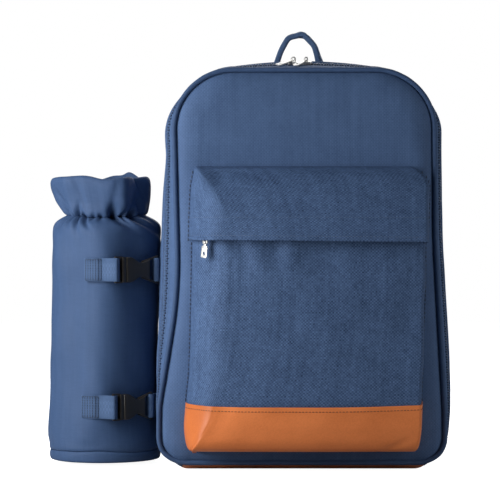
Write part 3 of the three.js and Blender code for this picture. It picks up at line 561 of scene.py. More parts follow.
def add_block(bm, point, along, across, out, size):
    """Small block at a point, with its length, width and height along three directions."""
    turned = Matrix((along * size[0], across * size[1], out * size[2])).transposed().to_4x4()
    bmesh.ops.create_cube(bm, size=1, matrix=Matrix.Translation(point) @ turned)


def soften(bm, edges, width, segments):
    bmesh.ops.bevel(bm, geom=edges, offset=width, offset_type="OFFSET", segments=segments, profile=0.5,
                    affect="EDGES", clamp_overlap=True, material=-1)


def set_row(name, spots, size, edge, material):
    """Row of small softened blocks, such as stitches or turns of a coil, set out as one piece."""
    bm = bmesh.new()
    for spot in spots:
        add_block(bm, *spot, size)
    soften(bm, bm.edges[:], edge, 1)
    set_out(name, bm, material)


def speckled_finish(name, deep, light, scale, rough, metal=0.0):
    """Moulded, dyed or plated surface: two close tones in fine specks, with uneven gloss."""
    material, tree, shader = new_material(name)
    specks = noise_of(tree, node(tree, "ShaderNodeTexCoord").outputs["Object"], scale, 4.0)
    wire(tree, shader, {
        "Base Color": mix_of(tree, specks, (*deep, 1), (*light, 1)),
        "Roughness": ramp_of(tree, specks, 0.3, 0.7, rough * 0.85, rough * 1.2),
        "Normal": relief_of(tree, specks, 0.12, 0.0002),
        "Metallic": metal,
    })
    return material


def zip_runs(pitch):
    """Even steps along the zip, clear of both its ends."""
    return [SIDE_FROM + ENDS_CLEAR + (k + 0.5) * pitch for k in range(int(ZIP_RUN / pitch))]


coil_nylon = speckled_finish("navy_coil_nylon", (0.020, 0.038, 0.084), (0.040, 0.070, 0.142), 900.0, 0.42)
navy_thread = speckled_finish("navy_thread", (0.045, 0.078, 0.155), (0.085, 0.135, 0.245), 1500.0, 0.6)
turns = []
for k, run in enumerate(zip_runs(COIL_PITCH)):
    turns.append(wall_frame(run, ZIP_MIDDLE + (COIL_REACH if k % 2 else -COIL_REACH), COIL_LIFT))
set_row("main_zip_coil", turns, COIL_TURN, 0.4, coil_nylon)
stitches = [wall_frame(run, y, 0.0) for y in ZIP_STITCHES for run in zip_runs(STITCH_PITCH)]
set_row("main_zip_stitches", stitches, (2.3, 0.75, 0.6), 0.22, navy_thread)


# Base: a strip of tan leather-look material that closes the wall at the bottom and takes the wear. It is
# sewn into both bottom seams and lies a little wavy at its front edge.
TAN_DEEP = (0.67, 0.184, 0.050, 1)
TAN_LIGHT = (0.87, 0.262, 0.080, 1)
# Multiplier of the painted shade on the trim's left slant, which faces the lamp.
TAN_PAINTED_SHADE = (0.78, 0.72, 0.62, 1)
TAN_ROUGH = 0.36
PEBBLES_PER_METRE = 850.0
BASE_RUN = SEAM_LENGTH - SIDE_RUN

grain, given = surface_group("leather_grain", "Pebbles per metre")
pebbles = node(grain, "ShaderNodeTexVoronoi", {"Vector": given[0], "Scale": given[1]}, feature="SMOOTH_F1")
raised = math_of(grain, "SUBTRACT", 1.0, pebbles.outputs["Distance"])
clouds = math_of(grain, "MULTIPLY", noise_of(grain, given[0], 22.0, 5.0), 0.85)
node(grain, "NodeGroupOutput", {0: math_of(grain, "MULTIPLY_ADD", raised, 0.25, clouds), 1: raised})


def leather_finish(name, fold=0.0):
    """Grained leather-look sheet; when a fold is given, painted shade darkens it from the start of its strip
    up to that fold.
    """
    material, tree, shader = new_material(name)
    surface = node(tree, "ShaderNodeUVMap", uv_map="cloth").outputs[0]
    sockets = {"Surface": surface, "Pebbles per metre": PEBBLES_PER_METRE}
    grained = node(tree, "ShaderNodeGroup", sockets, node_tree=grain).outputs
    colour = mix_of(tree, ramp_of(tree, grained["Shade"], 0.35, 0.85), TAN_DEEP, TAN_LIGHT)
    # Painted shade: the slant before the fold faces the lamp, and its colour is darkened so that it looks
    # shaded.
    if fold:
        along = node(tree, "ShaderNodeSeparateXYZ", {0: surface}).outputs[0]
        painted_shade = ramp_of(tree, along, 0.85 * fold, 1.2 * fold, 1.0, 0.0)
        colour = mix_of(tree, painted_shade, colour, TAN_PAINTED_SHADE, blend_type="MULTIPLY")
    wire(tree, shader, {
        "Base Color": colour,
        "Roughness": ramp_of(tree, grained["Shade"], 0.3, 0.9, TAN_ROUGH + 0.1, TAN_ROUGH),
        "Normal": relief_of(tree, grained["Height"], 0.18, 0.0003),
        "Specular IOR Level": 0.3,
    })
    return material


def base_place(share, y):
    run = SIDE_TO + share * BASE_RUN
    wave = smooth_step(-30, -58, y) * (1.1 + 1.3 * ripple(wall_at(run, y).x, 0, 0, 34, 6.0))
    point = wall_at(run, y, -wave)
    point.z = max(point.z, 0.0)
    return point


base = lay_cloth(120, steps(-63.0, 62.8, 30), base_place, (BASE_RUN, 126), (0, 0, -1))
set_out("base_leather", base, leather_finish("tan_leather"), ["base_panel"], wall=2.0)


# Piping: a cord wrapped in smooth nylon and sewn into the front seam, all round the front panel.
# The needle puckers it a little, and along the bottom it sits deeper in the seam.
PIPING_RADIUS = 2.6
PIPING_Y = -66.0
PIPING_OUT = 2.0
PIPING_SUNK = 1.8
sleeve_nylon = woven_finish("navy_nylon", (0.031, 0.063, 0.138), (0.056, 0.101, 0.209), 1700.0, 0.05, 0.5,
                            relief=0.25, sheen=0.02)


def piping_place(share, angle):
    point, normal = seam_at(share * SEAM_LENGTH)
    radius = PIPING_RADIUS * (1 + 0.05 * ripple(point.x, 0, point.y, 7, 4.0))
    out = PIPING_OUT - PIPING_SUNK * smooth_step(0.5, 0.98, -normal.y) + radius * math.cos(angle)
    return Vector((point.x + normal.x * out, PIPING_Y + radius * math.sin(angle), point.y + normal.y * out))


FULL_TURN = 2 * math.pi
piping = lay_cloth(480, steps(0, FULL_TURN, 12), piping_place, (SEAM_LENGTH, 14.5), (0, 0, -1), joined=True)
set_out("front_piping_cord", piping, sleeve_nylon, ["front_piping"])


# Back panel: padded polyester against the wearer's back, sewn into the back seam all round.
# Its foam rounds the edge in a few soft steps and holds the face flat.
BACK_SEAM_Y = 63.2
BACK_ROLL = [
    # the same for the back as in PANEL_ROLL
    (2.0, 65.6),
    (2.5, 67.8),
    (4.0, 69.6),
    (5.0, 70.6),
]
back_panel = lay_panel(BACK_SEAM_Y, BACK_ROLL, 0.0, -1)
back_panel = set_out("back_panel_pad", back_panel, pack_cloth, ["back_panel"], wall=1.5)


# Haul handle: a strip of nylon folded to four layers and stitched, looped over the top near the back.
# Both ends go into the back seam, and the loop is bent over and twisted a little.
HANDLE = [
    # step, x, z, twist in degrees, width
    (0, -28.2, 409, 4, 13.4),
    (1, -27, 415, 4, 13.6),
    (2, -23.8, 426, 2, 14.5),
    (3, -18.6, 438.5, 0, 15),
    (4, -12.2, 446.4, 0, 14),
    (5, -2, 450.0, 3, 13.5),
    (6, 7.2, 446.0, 4, 14),
    (7, 13.8, 438.0, 7, 15),
    (8, 17.6, 427, 13, 14.5),
    (9, 21.0, 415, 28, 14.2),
    (10, 22.4, 409, 32, 14.6),
]
HANDLE_END = 10
HANDLE_Y = 49.0
HANDLE_THICKNESS = 6.0


def rounded_slab(angle, power):
    """Point on a flat section with soft edges, from -1 to 1 both ways."""
    c = math.cos(angle)
    s = math.sin(angle)
    return math.copysign(abs(c) ** power, c), math.copysign(abs(s) ** power, s)


def heading(line, step, last):
    """Direction of a centre line at a step along it."""
    return (line(min(step + 0.05, last)) - line(max(step - 0.05, 0))).normalized()


def lay_tube(columns, around, place, size, outward):
    """Closed roll of cloth: place(share, angle) gives each point, and both its ends are capped."""
    bm = lay_cloth(columns, steps(0, FULL_TURN, around), place, size, outward, joined=True)
    bmesh.ops.holes_fill(bm, edges=[e for e in bm.edges if e.is_boundary], sides=2 * around)
    bmesh.ops.recalc_face_normals(bm, faces=bm.faces)
    return bm


def handle_line(step):
    return Vector((table_at(HANDLE, 1, step), HANDLE_Y, table_at(HANDLE, 2, step)))


def handle_place(share, angle):
    step = share * HANDLE_END
    along = heading(handle_line, step, HANDLE_END)
    across = Matrix.Rotation(math.radians(table_at(HANDLE, 3, step)), 3, along) @ Vector((0, 1, 0))
    wide, thick = rounded_slab(angle, 0.45)
    crumple = 2.0 * ripple(step * 7, wide * 4, 0, 6, 2.0) * bump(step, 5.0, 1.7)
    groove = 0.12 * bump(abs(wide), 0.72, 0.07)
    point = handle_line(step) + across * wide * table_at(HANDLE, 4, step) / 2
    return point + along.cross(across) * (thick * (0.5 - groove) * HANDLE_THICKNESS + crumple)


webbing = woven_finish("navy_webbing", (0.042, 0.080, 0.165), (0.086, 0.146, 0.275), 1900.0, 0.04, 0.58,
                       relief=0.6, sheen=0.02)
handle = lay_tube(90, 32, handle_place, (110, 38), (0, 0, 1))
set_out("haul_handle_loop", handle, webbing, ["haul_handle"])


# Front pocket: a box of coarser, mottled polyester sewn to the front panel, with a wide slant on its left and
# a nearly straight right side. Its foot is tan leather-look trim, top-stitched over the cloth and folded like
# a parcel at both lower corners.
POCKET_BODY = [
    # z, left edge, right edge, depth, width of the left and of the right slant
    (22.5, -110, 104, 4, 2, 2),
    (25, -114, 109.5, 30, 3, 3),
    (31, -117, 113, 42, 10, 4),
    (46, -119, 115, 48, 23, 4),
    (60, -118.2, 115.6, 49.7, 30, 4.5),
    (75, -117, 116, 50.6, 33, 4.5),
    (105, -114, 117, 51, 38, 4.5),
    (160, -112.5, 118.8, 50, 44, 4.5),
    (205, -111.5, 120, 48.5, 44, 4.5),
    (244, -111, 120, 46.5, 42, 4.5),
]
POCKET_SIDE = [
    # place along the slant's cloth, share of its width and of the depth where creased, the same where soft
    (0, 0, 0, 0, 0),
    (0.18, 0.015, 0.2, 0.02, 0.2),
    (0.36, 0.1, 0.41, 0.13, 0.42),
    (0.5, 0.27, 0.57, 0.28, 0.58),
    (0.72, 0.62, 0.82, 0.57, 0.82),
    (0.88, 0.86, 0.96, 0.81, 0.95),
    (1, 1, 1, 1, 1),
]
POCKET_FOLDS = [
    # x, width and height of each soft fold that hangs below the zip
    (-12, 9, 2.4),
    (16, 13, -1.6),
    (-46, 8, 1.6),
    (-30, 9, -1.2),
]
POCKET_RIM = -71.0
POCKET_CROWN = 4.0
POCKET_WIDTH = 310
RIDGE_ROUND = 0.055
RIDGE_HALF = 0.048
LEFT_PART = 0.24
RIGHT_PART = 0.8
TRIM_UPS = [22.5, 22.7, 23, 23.5, 24.2, 25, 26, 27.5, 29, 31, 33.5, 36, 39, 42, 45, 48, 51, 54, 57, 60, 62.5,
            64.5, 66, 67.5, 69, 69.8, 70.3]
TRIM_LIFT = 0.9
TRIM_FOLD = 0.072
TRIM_STITCH_Z = 66.0
pocket_cloth = woven_finish("navy_pocket_polyester", (0.020, 0.042, 0.099), (0.093, 0.161, 0.313), 640.0,
                            0.25, 0.62, relief=0.5, sheen=0.03, mottle=0.34, twist=1.0)


def slant_at(t, soft):
    """Share of a slant's width and of the pocket's depth, at a place along its cloth."""
    along = (1 - soft) * table_at(POCKET_SIDE, 1, t) + soft * table_at(POCKET_SIDE, 3, t)
    deep = (1 - soft) * table_at(POCKET_SIDE, 2, t) + soft * table_at(POCKET_SIDE, 4, t)
    return along, deep


def pocket_at(rows, share, z, lift=0.0):
    """Point on the pocket's outside, from the left rim round the front to the right rim, lifted off it."""
    _, left, right, depth, left_slant, right_slant = [table_at(rows, column, z) for column in range(6)]
    left -= lift
    right += lift
    rounded = RIDGE_ROUND * smooth_step(24, 46, z) * (1 - 0.7 * smooth_step(244, 262, z))
    depth = (depth + lift) * (1 - rounded * bump(share, LEFT_PART, RIDGE_HALF))
    if share < LEFT_PART:
        soft = smooth_step(34, 120, z) * smooth_step(310, 225, z)
        along, deep = slant_at(share / LEFT_PART, soft)
        return Vector((left + along * left_slant, POCKET_RIM - deep * depth, z))
    if share > RIGHT_PART:
        along, deep = slant_at((1 - share) / (1 - RIGHT_PART), 1.0)
        return Vector((right - along * right_slant, POCKET_RIM - deep * depth, z))
    t = (share - LEFT_PART) / (RIGHT_PART - LEFT_PART)
    crown = min(POCKET_CROWN, 0.12 * depth) * math.sin(math.pi * t)
    x = left + left_slant + (right - right_slant - left - left_slant) * t
    return Vector((x, POCKET_RIM - depth - crown, z))


def sewn_sides(share):
    """How freely the pocket's cloth moves: not at all at its rims, where it is sewn down."""
    return smooth_step(0.0, 0.05, share) * smooth_step(1.0, 0.95, share)


def body_place(share, z):
    point = pocket_at(POCKET_BODY, share, z)
    tucked = TRIM_LIFT * smooth_step(72.5, 69.5, z)
    folds = 1.7 * ripple(point.x, 0, point.z, 60, 7.0) + 0.7 * ripple(point.x, 0, point.z, 24, 11.0)
    hung = sum(high * bump(point.x, x, wide) for x, wide, high in POCKET_FOLDS)
    drag = -1.8 * bump(point.x + 0.5 * (z - 225), -64, 8)
    folds += (hung + drag) * smooth_step(180, 228, z)
    return pocket_at(POCKET_BODY, share, z, sewn_sides(share) * folds - tucked)


body = lay_cloth(150, steps(65.5, 244, 90), body_place, (POCKET_WIDTH, 178), (0, -1, 0))
set_out("pocket_body_cloth", body, pocket_cloth, ["pocket_body"], wall=1.4)


def trim_place(share, z):
    sag = 3.4 * smooth_step(0.55, 1.0, share) + 1.4 * smooth_step(0.35, 0.0, share) - 0.5
    z += sag * smooth_step(40, 66, z)
    point = pocket_at(POCKET_BODY, share, z)
    waves = 0.5 * ripple(point.x, 0, point.z, 46, 13.0) + 0.2 * ripple(point.x, 0, point.z, 16, 17.0)
    pinched = 1.6 * bump(share, 0.2, 0.03) * smooth_step(44, 27, z)
    parcel = 1.5 * bump(point.x - 1.9 * (z - 30), 84, 6) * smooth_step(46, 30, z)
    return pocket_at(POCKET_BODY, share, z, TRIM_LIFT + waves - pinched - parcel)


# The trim's finish paints shade on its left slant, up to TRIM_FOLD along the strip.
trim_leather = leather_finish("tan_trim_leather", TRIM_FOLD)
trim = lay_cloth(170, TRIM_UPS, trim_place, (POCKET_WIDTH, 78), (0, -1, 0))
set_out("pocket_trim_leather", trim, trim_leather, ["pocket_trim"], wall=1.6)


def level_row(place, first, last, up, pitch):
    """Even steps along a level line on a surface: point, and the directions along, across and outwards."""
    shares = steps(first, last, 500)
    points = [place(share, up) for share in shares]
    spots = []
    gone = 0.0
    due = pitch / 2
    for k in range(1, len(shares) - 1):
        gone += (points[k] - points[k - 1]).length
        if gone < due:
            continue
        due += pitch
        along = (points[k + 1] - points[k - 1]).normalized()
        across = (place(shares[k], up + 0.3) - place(shares[k], up - 0.3)).normalized()
        out = along.cross(across).normalized()
        spots.append((points[k], along, out.cross(along), out))
    return spots


tan_thread = speckled_finish("brown_thread", (0.20, 0.060, 0.020), (0.34, 0.115, 0.040), 1500.0, 0.55)
stitches = level_row(trim_place, 0.04, 0.96, TRIM_STITCH_Z, 3.3)
set_row("pocket_trim_stitches", stitches, (2.2, 0.8, 0.7), 0.22, tan_thread)


# Pocket flap: a hood of the same cloth over the pocket's zip, sewn to the panel along its top and sides.
# Its upper left corner is pushed in, and its hem hangs free over the zip and bulges round the slider.
POCKET_FLAP = [
    # z, left edge, right edge, depth, width of the left and of the right slant
    (230, -114.5, 122.5, 58.5, 44, 5),
    (252, -114, 123.5, 51.5, 39, 5),
    (264, -113.5, 124, 46, 33, 5),
    (278, -113, 124.5, 39, 26, 4.5),
    (289, -112, 124, 31, 17, 4),
    (297, -110.5, 119.5, 22, 9, 4),
    (302, -109.5, 113.5, 15, 5, 3.5),
    (305, -108.5, 108, 8, 3, 3),
    (306.4, -108, 104.5, 2, 2, 2),
]
FLAP_UPS = steps(230.5, 296, 44) + [297.2, 298.3, 299.3, 300.2, 301, 301.7, 302.4, 303, 303.5, 304, 304.4,
                                    304.8, 305.2, 305.6, 305.9, 306.2, 306.4]
FLAP_DENTS = [
    # x and z of each dent, its width, height and depth
    (-88, 294, 12, 8, 5.2),
    (-66, 299, 18, 6, 4.0),
]
FLAP_HEM = [
    # z of each row of stitches, how deep and how wide it draws the cloth in, and how high its stitches lie
    (235.0, 0.25, 0.7, 0.45),
    (254.5, 0.4, 0.9, 0.4),
]
SLIDER_BULGE = 5.0


def flap_place(share, up):
    hang = smooth_step(262, 231, up)
    z = up + hang * (2.6 - 3.2 * share)
    point = pocket_at(POCKET_FLAP, share, z)
    free = sewn_sides(share) * smooth_step(306, 299, up)
    folds = 0.8 * ripple(point.x, 0, point.z, 52, 19.0) + 0.35 * ripple(point.x, 0, point.z, 19, 23.0)
    folds += 0.9 * hang * ripple(point.x, 0, 0, 40, 29.0)
    for x, at, wide, high, deep in FLAP_DENTS:
        folds -= deep * bump(point.x, x, wide) * bump(point.z, at, high)
    lift = free * folds + SLIDER_BULGE * bump(point.x, -99, 12) * bump(point.z, 230, 8)
    lift += 0.8 * bump(up, 303.6, 1.4)
    for at, deep, wide, _ in FLAP_HEM:
        lift -= deep * bump(up, at, wide)
    return pocket_at(POCKET_FLAP, share, z, lift)


flap = lay_cloth(150, FLAP_UPS, flap_place, (POCKET_WIDTH, 105), (0, -1, 0))
set_out("pocket_flap_cloth", flap, pocket_cloth, ["pocket_flap"], wall=1.6)
bm = bmesh.new()
for at, _, _, high in FLAP_HEM:
    for spot in level_row(flap_place, 0.02, 0.98, at, STITCH_PITCH):
        add_block(bm, *spot, (2.3, 0.6, high))
soften(bm, bm.edges[:], 0.18, 1)
set_out("pocket_flap_stitches", bm, navy_thread)


# Side seams of the pocket: stitches in the panel, close beside the pocket and its flap on both sides. They
# hold the rims of both cloths to the panel.
# Their thread is partly its own deep navy and partly painted shade: it is darker than the other navy thread
# so that it draws the shadowed groove along the pocket's rim.
SIDE_SEAMS = [
    # which cloth, and the lowest and the highest stitch
    (POCKET_BODY, 74, 229),
    (POCKET_FLAP, 233, 300),
]
SEAM_OFF = 1.2
SEAM_PITCH = 4.2
UP = Vector((0, 0, 1))
# Very dark thread: its own navy, darkened further with painted shade for the shadowed line along the pocket's
# rim. The sleeve's stitch blocks use it too.
dark_thread_and_rim_shade = speckled_finish("navy_thread_and_painted_rim_shade", (0.014, 0.026, 0.058), (0.030, 0.052, 0.105), 1500.0, 0.6)
stitches = []
for rows, low, high in SIDE_SEAMS:
    for column, side in ((1, -1), (2, 1)):
        for z in steps(low, high, int((high - low) / SEAM_PITCH)):
            x = table_at(rows, column, z) + side * SEAM_OFF
            point, out, _, _ = panel_skin.ray_cast(Vector((x, -150, z)), Vector((0, 1, 0)))
            stitches.append((point + out * 0.1, UP, out.cross(UP).normalized(), out))
set_row("pocket_side_stitches", stitches, (2.7, 0.9, 0.8), 0.2, dark_thread_and_rim_shade)


# Pocket zip: a woven tape with its nylon coil, sewn across the front of the pocket and hidden by the flap.
# It lies a little proud of the pocket's cloth.
POCKET_ZIP_FROM = 0.1
POCKET_ZIP_TO = 0.93
POCKET_ZIP_Z = 237.5
POCKET_ZIP_HALF = 4.0


def pocket_zip_place(share, z):
    return pocket_at(POCKET_BODY, POCKET_ZIP_FROM + (POCKET_ZIP_TO - POCKET_ZIP_FROM) * share, z, 1.0)


zip_ups = steps(POCKET_ZIP_Z - POCKET_ZIP_HALF, POCKET_ZIP_Z + POCKET_ZIP_HALF, 8)
tape = lay_cloth(120, zip_ups, pocket_zip_place, (260, 8), (0, -1, 0))
set_out("pocket_zip_tape", tape, zip_cloth, ["pocket_zip"], wall=0.8)
turns = []
for k, (point, along, across, out) in enumerate(level_row(pocket_zip_place, 0, 1, POCKET_ZIP_Z, COIL_PITCH)):
    turns.append((point + across * (0.6 if k % 2 else -0.6), along, across, out))
set_row("pocket_zip_coil", turns, (1.4, 3.2, 1.2), 0.3, coil_nylon)


# Zip sliders and pulls: die-cast and nickel-plated, with softened edges. The sliders ride on the zips, and
# the pulls swing on the sliders' bridges.
SLIDER_EDGE = 0.3
PULL_EDGE = 0.25
nickel = speckled_finish("nickel_plate", (0.66, 0.65, 0.62), (0.84, 0.83, 0.80), 260.0, 0.3, 0.6)


def cast_from(node_name, edge):
    """Copy of a rigid solid, merged, with its sharp edges rounded."""
    bm = bmesh.new()
    bm.from_mesh(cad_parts[node_name].data)
    bmesh.ops.scale(bm, vec=(1 / MM, 1 / MM, 1 / MM), verts=bm.verts)
    bmesh.ops.remove_doubles(bm, verts=bm.verts, dist=0.01)
    bmesh.ops.dissolve_limit(bm, angle_limit=math.radians(2), verts=bm.verts, edges=bm.edges)
    sharp = [e for e in bm.edges if len(e.link_faces) == 2 and e.calc_face_angle() > math.radians(40)]
    soften(bm, sharp, edge, 2)
    return bm


for name in ("top_slider_left", "top_slider_right", "pocket_slider"):
    set_out(name + "_cast", cast_from(name, SLIDER_EDGE), nickel, [name], smooth=False)
for name in ("top_pull_left", "top_pull_right", "pocket_pull"):
    set_out(name + "_cast", cast_from(name, PULL_EDGE), nickel, [name], body=name, smooth=False)


# Bottle sleeve: an insulated tube of smooth nylon, a little flattened towards the left and the right of its
# front. An elastic in its neck draws the cloth into a few deep gathers that fan out above and below it.
SLEEVE_X = -206.1
SLEEVE_Y = 40.0
SLEEVE_ROUND = 354.0
FOOT = 15
NECK = 259.4
STRAP_HEIGHTS = {"upper": 202.5, "lower": 62.0}
SLEEVE_BODY = [
    # z, radius, lean to the side, depth of the gathers
    (15, 57.3, -1, 0),
    (36, 56.6, -2.2, 0),
    (62, 56.3, -2.4, 0),
    (135, 55.6, -0.6, 0),
    (190, 55.4, 0.4, 0.4),
    (212, 55.4, 0.4, 1.2),
    (226, 55, 0.4, 2.2),
    (236, 54.2, 0.4, 3.2),
    (244, 53.2, 0.4, 4.2),
    (250, 51.4, 0.4, 5.2),
    (254, 48.9, 0.4, 6),
    (257, 45.4, 0.4, 6.4),
    (259.4, 41.4, 0.4, 6.4),
]
GATHERS = [
    # turn from the front towards the pack, depth, width, reach below and above the neck, lean below and above
    (-160, 0.8, 7.0, 26, 30, 0.2, 0.1),
    (-138, 1.0, 6.0, 34, 24, -0.2, 0.2),
    (-112, 0.8, 6.5, 24, 28, 0.2, -0.2),
    (-86, 1.0, 7.0, 6, 9, -0.3, 0.1),
    (-62, 1.3, 5.6, 13, 19, -0.2, -0.3),
    (-49, 0.9, 3.2, 10, 26, 0.2, -0.8),
    (-38, 1.3, 2.8, 15, 10, 0.4, 0.5),
    (-27, 1.1, 2.8, 10, 7, 0.9, -0.3),
    (-13, 0.5, 3.0, 4, 4, -0.5, 0.4),
    (-3, 0.8, 3.4, 4, 3, 0.1, 0.1),
    (14, 2.0, 4.8, 12, 14, 1.5, 0.3),
    (26, 0.9, 3.0, 8, 7, 1.1, 1.2),
    (41, 1.7, 5.0, 18, 14, 1.7, 0.5),
    (63, 0.9, 5.0, 16, 20, 0.9, -0.2),
    (86, 0.8, 6.5, 6, 12, 0.2, 0.1),
    (112, 0.8, 6.0, 24, 30, -0.2, 0.1),
    (136, 0.9, 6.5, 28, 22, 0.2, -0.1),
    (162, 0.8, 6.0, 26, 28, -0.1, 0.1),
]
FLATS = [
    # turn in the middle of each flatter side, half its width, how far it is pressed in
    (-32, 36, 5.0),
    (39, 34, 2.2),
]
SWELL = [
    # z, how far the tube swells towards the pack, and away from it at the shoulder
    (8, 2.2, 0),
    (30, 2.0, 0),
    (45, 1.2, 0),
    (62, 0.6, 0),
    (110, 1.2, 0),
    (150, 1.8, 0),
    (180, 1.8, 0),
    (202.5, 0.6, 0),
    (215, 1.6, 0),
    (228, 3.2, 0.3),
    (240, 4.4, 1.6),
    (252, 4.6, 2.0),
    (258.5, 0, 0),
]


def apart(turn, at):
    return (turn - at + 180) % 360 - 180


def round_sleeve(x, radius, turn, z):
    """Point round the sleeve's axis, with the turn counted from the front towards the pack."""
    angle = math.radians(turn)
    return Vector((x + radius * math.sin(angle), SLEEVE_Y - radius * math.cos(angle), z))


def ring_ripple(turn, radius, size, seed):
    """Unevenness round the sleeve that meets itself after a full turn."""
    angle = math.radians(turn)
    return ripple(radius * math.sin(angle), radius * math.cos(angle), 0, size, seed)


def gathered(turn, z):
    """How far the gathers draw the cloth in at a place, in shares of their depth there."""
    away = z - NECK
    drawn = -0.12
    for at, depth, width, below, above, lean_below, lean_above in GATHERS:
        reach = above if away > 0 else below
        lean = lean_above if away > 0 else lean_below
        off = apart(turn, at + lean * abs(away))
        spread = width * (1 + 0.035 * abs(away))
        if abs(off) < 3 * spread:
            drawn += depth * bump(off, 0, spread) * bump(away, 0, reach)
    return drawn


def pressed_flat(turn, sides):
    pressed = 0.0
    for at, half, depth in sides:
        off = abs(apart(turn, at))
        if off < half:
            pressed += depth * math.cos(math.pi / 2 * off / half) ** 2
    return pressed


def flattened(turn, z):
    return pressed_flat(turn, FLATS) * smooth_step(16, 70, z) * smooth_step(258, 222, z)


def foot_wave(turn, z):
    """Rise and fall of the seam round the sleeve's foot."""
    return 2.2 * ring_ripple(turn, 56, 24, 61.0) * smooth_step(34, 16, z)


def swollen(turn, z):
    """Extra reach of the tube at its shoulders and on the side that hangs against the pack."""
    towards_pack = table_at(SWELL, 1, z) * bump(apart(turn, 84), 0, 30)
    return towards_pack + table_at(SWELL, 2, z) * bump(apart(turn, -84), 0, 34)


def neck_hang(turn):
    """How far the neck hangs lower at its front, with the wander of its elastic."""
    return 1.3 * ring_ripple(turn, 42, 16, 71.0) - 3.0 * max(0, math.cos(math.radians(turn))) ** 2


def sleeve_place(share, z):
    turn = 360 * share - 180
    x = SLEEVE_X + table_at(SLEEVE_BODY, 2, z)
    spot = round_sleeve(x, 56, turn, z)
    folds = 2.4 * ripple(*spot, 58, 31.0) + 1.5 * ripple(spot.x + 0.4 * z, spot.y, 0.6 * z, 25, 37.0)
    for strap_z in STRAP_HEIGHTS.values():
        folds -= 0.8 * bump(z, strap_z, 15) * bump(turn, 20, 42)
    lift = folds * smooth_step(19, 30, z) * smooth_step(257, 240, z) - bump(z, FOOT, 1.6)
    lift += swollen(turn, z) - flattened(turn, z)
    radius = table_at(SLEEVE_BODY, 1, z) - table_at(SLEEVE_BODY, 3, z) * gathered(turn, z) + lift
    return round_sleeve(x, radius, turn, z + foot_wave(turn, z) + neck_hang(turn) * smooth_step(222, NECK, z))


sleeve_ups = steps(FOOT, 24, 8)[:-1] + steps(24, 200, 42)[:-1]
sleeve_ups += steps(200, 246, 24)[:-1] + steps(246, NECK, 18)
sleeve = lay_cloth(300, sleeve_ups, sleeve_place, (SLEEVE_ROUND, 245), (0, -1, 0), joined=True)
set_out("sleeve_body_cloth", sleeve, sleeve_nylon, ["sleeve_body"], wall=2.4)


# Sleeve collar: the cloth above the elastic puffs out, flops open and is turned in at its rim, with one fold
# of the rim standing up at the back right.
SLEEVE_COLLAR = [
    # step, z, radius, lean to the side, depth of the gathers
    (0, 259.4, 41.4, 0.4, 6.4),
    (1, 261, 43.6, 0, 6.2),
    (2, 263.5, 45.4, -0.6, 5.6),
    (3, 268, 47.2, -1.6, 4.6),
    (4, 274, 48.6, -2.6, 3.6),
    (5, 281, 50, -3.7, 3),
    (6, 288, 51.6, -4.8, 2.6),
    (7, 293.5, 52, -5.6, 2.4),
    (8, 296.6, 51.2, -5.8, 2.2),
    (9, 298, 49.8, -5.8, 2.2),
    (10, 298.2, 48.4, -5.8, 2.2),
    (11, 296.6, 47.4, -5.8, 2.2),
    (12, 293, 47, -5.6, 2.2),
]
COLLAR_FLATS = [
    # the same for the collar as in FLATS
    (-20, 46, 6.5),
    (62, 34, 4.5),
]
COLLAR_TILT = -0.5
LOBES = [
    # turn and width of each slow wave of the rim, how high it stands and how far it leans out
    (-84, 18, -0.6, 0.6),
    (-58, 10, 0.4, -2.2),
    (-20, 20, 1.0, 0.6),
    (12, 17, -3.4, 0.4),
    (27, 13, -0.4, 4.5),
    (58, 10, -1.0, -2.0),
    (84, 14, 1.6, 1.4),
    (112, 14, -2.2, 0.6),
    (140, 15, 8.0, -4.0),
    (166, 14, 4.6, 1.0),
    (-130, 30, 0.8, 0.8),
]
CREASES = [
    # turn and height at the upper and the lower end of each fold, its width and how deep it is
    (-30, 294, -20, 262, 3.6, 0.8),
    (-17, 298, -14, 266, 5.0, -0.5),
    (25, 300, 14, 264, 4.2, 1.3),
    (36, 300, 27, 268, 5.5, -0.8),
    (56, 300, 76, 274, 3.6, 2.0),
    (45, 300, 62, 274, 4.6, -0.9),
]


def creased(turn, z):
    """How far the folds of the collar lie pressed in at a place."""
    pressed = 0.0
    for turn_top, z_top, turn_low, z_low, width, depth in CREASES:
        share = min(max((z - z_low) / (z_top - z_low), 0), 1)
        off = 0.85 * apart(turn, turn_low + (turn_top - turn_low) * share)
        pressed += depth * bump(off, 0, width) * smooth_step(z_low - 4, z_low + 5, z)
    return pressed


def collar_place(share, step):
    turn = 360 * share - 180
    _, z, radius, lean, gather = [table_at(SLEEVE_COLLAR, column, step) for column in range(5)]
    x = SLEEVE_X + lean
    up = smooth_step(259, 296, z)
    spot = round_sleeve(x, 50, turn, z)
    out = up * (1.6 * ripple(*spot, 26, 41.0) + 0.5 * ripple(*spot, 12, 53.0)) - creased(turn, z)
    out -= smooth_step(259, 274, z) * pressed_flat(turn, COLLAR_FLATS)
    rise = 0.0
    for at, width, high, leaning in LOBES:
        wave = bump(apart(turn, at), 0, width)
        out += smooth_step(259, 276, z) * leaning * wave
        rise += high * wave
    radius += out - gather * gathered(turn, z)
    tilt = COLLAR_TILT * math.cos(math.radians(turn))
    return round_sleeve(x, radius, turn, z + up * (rise - tilt) + neck_hang(turn) * smooth_step(290, NECK, z))


collar = lay_cloth(300, steps(0, 12, 60), collar_place, (SLEEVE_ROUND, 52), (0, -1, 0), joined=True)
set_out("sleeve_collar_cloth", collar, sleeve_nylon, ["sleeve_collar"], wall=1.4)


